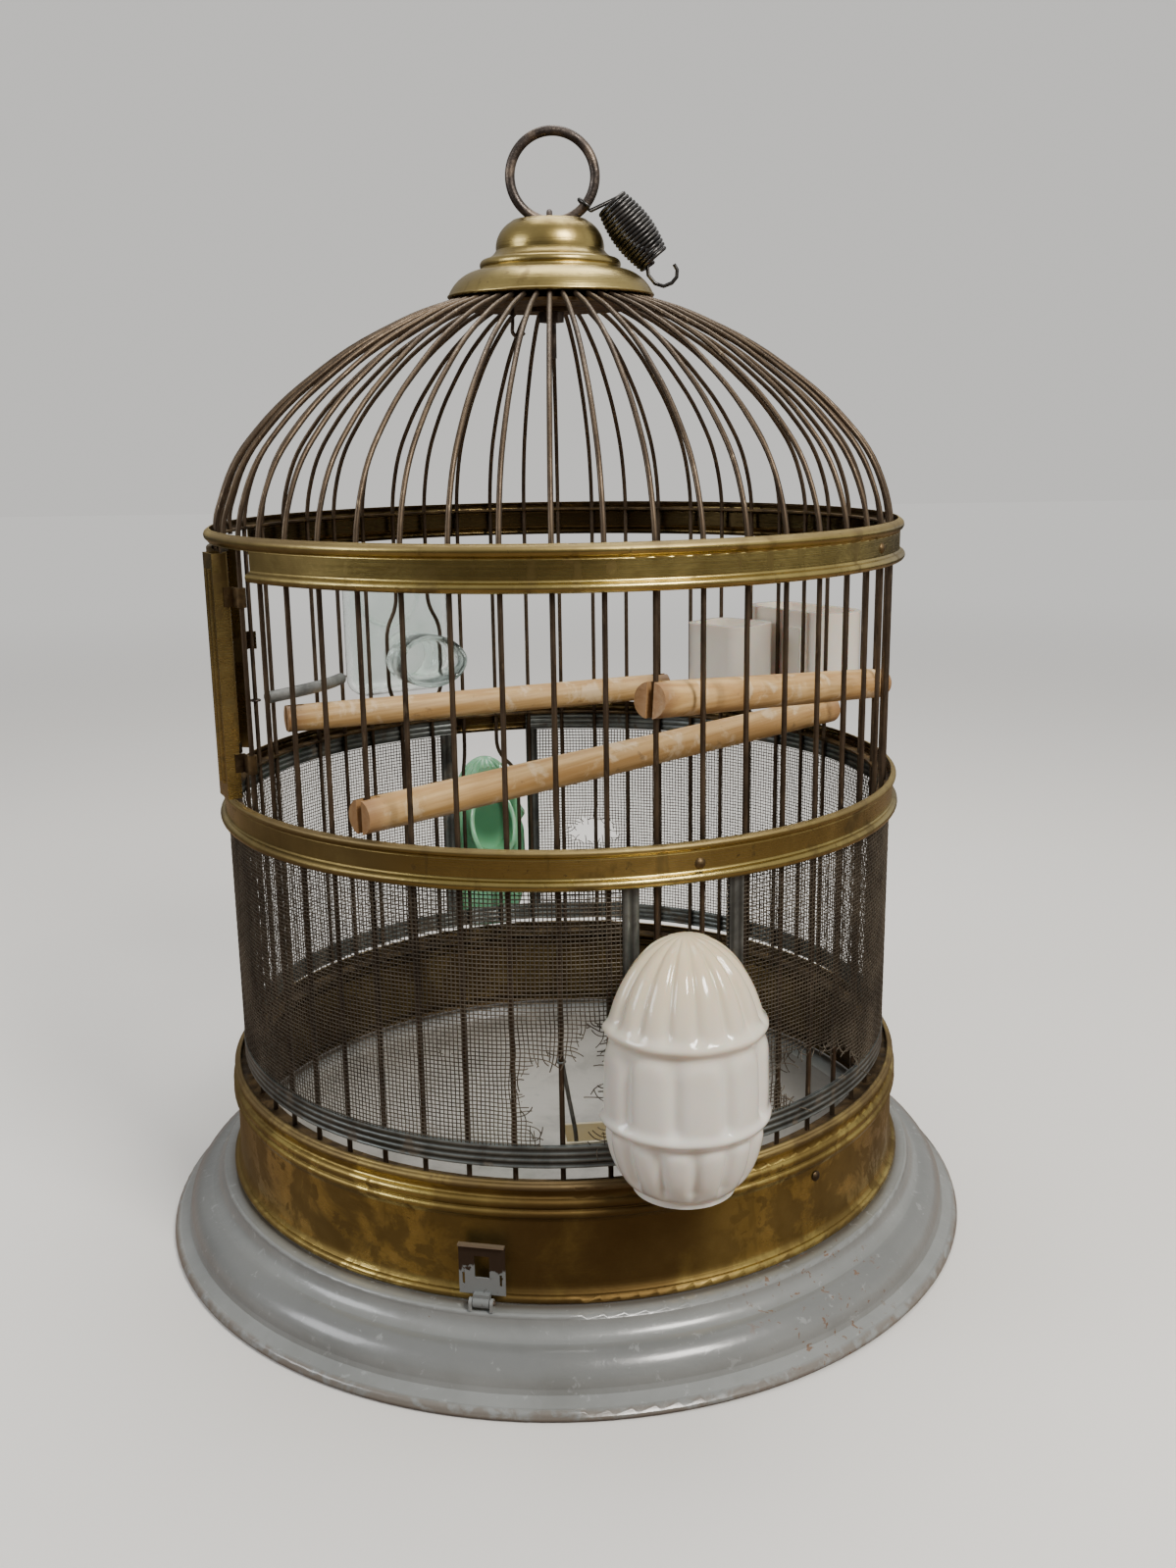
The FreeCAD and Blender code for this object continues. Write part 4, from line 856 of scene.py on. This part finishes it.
def glass_slab():
    """The flat hollow reservoir, with well rounded edges and a raised ring on its face."""
    bpy.ops.mesh.primitive_cube_add(size=1.0, location=(0.0, -(SLAB_BACK + SLAB_FRONT) / 2,
                                                        (SLAB_LOW + SLAB_HIGH) / 2))
    slab = bpy.context.object
    slab.name = "glass_slab"
    slab.scale = (2 * SLAB_HALF, SLAB_FRONT - SLAB_BACK, SLAB_HIGH - SLAB_LOW)
    settle(slab)
    for label, width in (("corners", 0.0095), ("softening", 0.002)):
        edge = slab.modifiers.new(label, "BEVEL")
        edge.width = width
        edge.segments = 6
        edge.limit_method = "ANGLE"
        bpy.ops.object.modifier_apply(modifier=label)
    wall = slab.modifiers.new("wall", "SOLIDIFY")
    wall.thickness = 0.003
    wall.offset = -1.0
    bpy.ops.object.modifier_apply(modifier="wall")
    bpy.ops.mesh.primitive_torus_add(major_radius=RING_RADIUS, minor_radius=0.0011, major_segments=64,
                                     minor_segments=10, location=(0.0, -SLAB_FRONT + 0.0004, RING_HEIGHT),
                                     rotation=(math.radians(90), 0.0, 0.0))
    ring = bpy.context.object
    settle(ring)
    slab = joined("glass_slab", [slab, ring])
    slab.data.transform(Matrix.Rotation(math.radians(GLASS_AZIMUTH), 4, "Z"))
    bpy.context.view_layer.objects.active = slab
    slab.select_set(True)
    bpy.ops.object.shade_smooth_by_angle(angle=math.radians(40))
    slab.select_set(False)
    return slab


trough = scoop("glass_trough", GLASS_AZIMUTH, 0.1503, 0.1170, 0.2190, 0.2450, 0.0129, 0.014, 0.45)
reservoir = joined("clear_reservoir", [glass_slab(), trough])
reservoir.data.materials.clear()
reservoir.data.materials.append(CLEAR_GLASS)
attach(reservoir, "glass_feeder")
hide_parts("glass_feeder")

# ---------------------------------------------------------------- seed trough
# A small moulded cream trough hung from one wire.


def cream_plastic():
    """Aged cream plastic."""
    made, tree, shader = new_material("cream_plastic", Coat_Weight=0.2)
    colour = mix(tree, blotches(tree, 80.0, 2.0, 0.5, 0.2), (0.88, 0.78, 0.53), (0.93, 0.86, 0.66))
    finish_with(tree, shader, colour, step(tree, blotches(tree, 150.0, 4.0, 0.5, 0.3), 0, 1, 0.3, 0.5),
                blotches(tree, 200.0, 1.0, 0.5, 0.4), 0.0002)
    return made


dress(cream_plastic(), "seed_trough")

# ---------------------------------------------------------------- hanging spring
# A close-wound barrel spring of black steel wire. A hook at its top holds the hanging ring and
# the hook at its foot is free.

SPRING_TOP = Vector((0.0252, 0.0, 0.4348))
SPRING_WAY = Vector((0.0176, 0.0, -0.0230)).normalized()
SPRING_LENGTH = 0.0286
SPRING_END = 0.00605
SPRING_BELLY = 0.00825
SPRING_WIRE = 0.00082
SPRING_TURNS = 17
SPRING_STEPS = 26
RING_SPOT = Vector((0.01471, 0.0, 0.43391))
RING_OUT = Vector((0.76604, 0.0, -0.64279))
HOOK_LOOP = 0.0033


def coil_points():
    """The wound part of the spring, wider in its middle."""
    across = Vector((0.0, 1.0, 0.0))
    aside = SPRING_WAY.cross(across)
    points = []
    for number in range(SPRING_TURNS * SPRING_STEPS + 1):
        share = number / (SPRING_TURNS * SPRING_STEPS)
        angle = 2 * math.pi * SPRING_TURNS * share
        reach = SPRING_END + (SPRING_BELLY - SPRING_END) * math.sin(math.pi * share)
        spoke = across * math.cos(angle) + aside * math.sin(angle)
        points.append(SPRING_TOP + SPRING_WAY * SPRING_LENGTH * share + spoke * reach)
    return points


def eye_points():
    """The upper hook: most of a loop round the wire of the ring."""
    across = Vector((0.0, 1.0, 0.0))
    return [RING_SPOT + (RING_OUT * math.cos(turn) + across * math.sin(turn)) * HOOK_LOOP
            for turn in [math.radians(-10 + 15 * number) for number in range(22)]]


LOWER_HOOK = [(0.0395, 0.0, 0.4125), (0.0402, 0.0, 0.4065), (0.0430, 0.0, 0.4032), (0.0465, 0.0, 0.4021),
              (0.0499, 0.0, 0.4033), (0.0519, 0.0, 0.4056), (0.0521, 0.0, 0.4084), (0.0508, 0.0, 0.4106)]


def spring_steel():
    """Black steel with bright rubbed crests."""
    made, tree, shader = new_material("spring_steel", Metallic=0.9)
    colour = mix(tree, blotches(tree, 180.0, 2.0, 0.5, 0.2), (0.035, 0.034, 0.034), (0.10, 0.095, 0.09))
    finish_with(tree, shader, colour, step(tree, blotches(tree, 400.0, 1.0, 0.5, 0.3), 0, 1, 0.25, 0.45))
    return made


eye = eye_points()
coil = coil_points()
spring = tubes("barrel_spring", [eye[::-1] + coil[4:], [coil[-1]] + [Vector(spot) for spot in LOWER_HOOK]],
               SPRING_WIRE, spring_steel(), sides=2)
close_and_smooth(spring, 60.0)
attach(spring, "spring")
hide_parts("hanging_spring")

# ---------------------------------------------------------------- floor, light and camera
# A plain pale floor that runs far behind the cage, soft studio light and one camera.


BACKDROP = (0.90, 0.885, 0.855)
BACKDROP_STRENGTH = 0.8


def seen_directly(tree):
    """One where the camera looks straight at a thing or through clear glass at it."""
    path = put(tree, "ShaderNodeLightPath")
    return maths(tree, "MAXIMUM", path.outputs["Is Camera Ray"], path.outputs["Is Transmission Ray"])


def pale_floor():
    """Matt pale grey that fades into the backdrop, but a dim warm brown, as painted reflection and shade, in
    what the brass reflects and in the light the floor bounces onto the cage.
    """
    made, tree, shader = new_material("pale_floor", Roughness=0.75)
    pale = mix(tree, blotches(tree, 1.5, 1.0, 0.5, 0.5), (0.80, 0.785, 0.755), (0.83, 0.815, 0.785))
    seen = seen_directly(tree)
    far = step(tree, axis_distance(tree), 0.5, 2.6)
    # Painted reflection and shade: to every ray but the camera's the floor is a dim warm brown, so the brass
    # reflects it dark and little light bounces up from it.
    pale_with_dark_reflection = mix(tree, seen, (0.16, 0.11, 0.08), pale)
    finish_with(tree, shader, mix(tree, far, pale_with_dark_reflection, (0.0, 0.0, 0.0)))
    shader.inputs["Emission Color"].default_value = (*BACKDROP, 1.0)
    glow = maths(tree, "MULTIPLY", maths(tree, "MULTIPLY", far, seen), BACKDROP_STRENGTH)
    tree.links.new(glow, shader.inputs["Emission Strength"])
    return made


bpy.ops.mesh.primitive_plane_add(size=12.0, location=(0.0, 0.0, -0.0002))
floor = bpy.context.object
floor.name = "floor"
settle(floor)
floor.data.materials.append(pale_floor())

world = bpy.data.worlds.new("studio")
bpy.context.scene.world = world
world.use_nodes = True
sky = world.node_tree
backdrop = sky.nodes["Background"]
way = put(sky, "ShaderNodeSeparateXYZ", {0: put(sky, "ShaderNodeTexCoord").outputs["Generated"]})
room = mix(sky, step(sky, way.outputs["Z"], -0.2, 0.75), (0.10, 0.085, 0.07), (0.62, 0.61, 0.60))
room = mix(sky, step(sky, way.outputs["X"], 0.1, 0.9), room, (0.80, 0.78, 0.74))
sky.links.new(mix(sky, seen_directly(sky), room, BACKDROP), backdrop.inputs["Color"])
backdrop.inputs["Strength"].default_value = BACKDROP_STRENGTH


def soft_light(label, spot, aim, size, power, tint):
    """A square soft light that points at a spot."""
    data = bpy.data.lights.new(label, "AREA")
    data.size = size
    data.energy = power
    data.color = tint
    lamp = bpy.data.objects.new(label, data)
    bpy.context.scene.collection.objects.link(lamp)
    lamp.location = spot
    lamp.rotation_euler = (Vector(aim) - Vector(spot)).to_track_quat("-Z", "Y").to_euler()


soft_light("key", (0.70, -0.95, 1.25), (0.0, 0.0, 0.2), 0.45, 24.0, (1.0, 0.96, 0.90))
soft_light("side", (-1.3, -0.5, 0.8), (0.0, 0.0, 0.22), 0.6, 8.0, (0.95, 0.97, 1.0))
soft_light("top", (0.1, 0.5, 1.6), (0.0, 0.0, 0.2), 0.9, 14.0, (1.0, 0.98, 0.95))

view = bpy.data.cameras.new("view")
view.lens = 33.77
view.sensor_width = 36.0
camera = bpy.data.objects.new("view", view)
bpy.context.scene.collection.objects.link(camera)
camera.location = (0.00667, -0.63713, 0.34554)
tilt = Euler((math.radians(76.41), 0.0, math.radians(-0.52))).to_matrix()
lean = Euler((0.0, 0.0, math.radians(-0.81))).to_matrix()
camera.rotation_euler = (tilt @ lean).to_euler()
bpy.context.scene.camera = camera
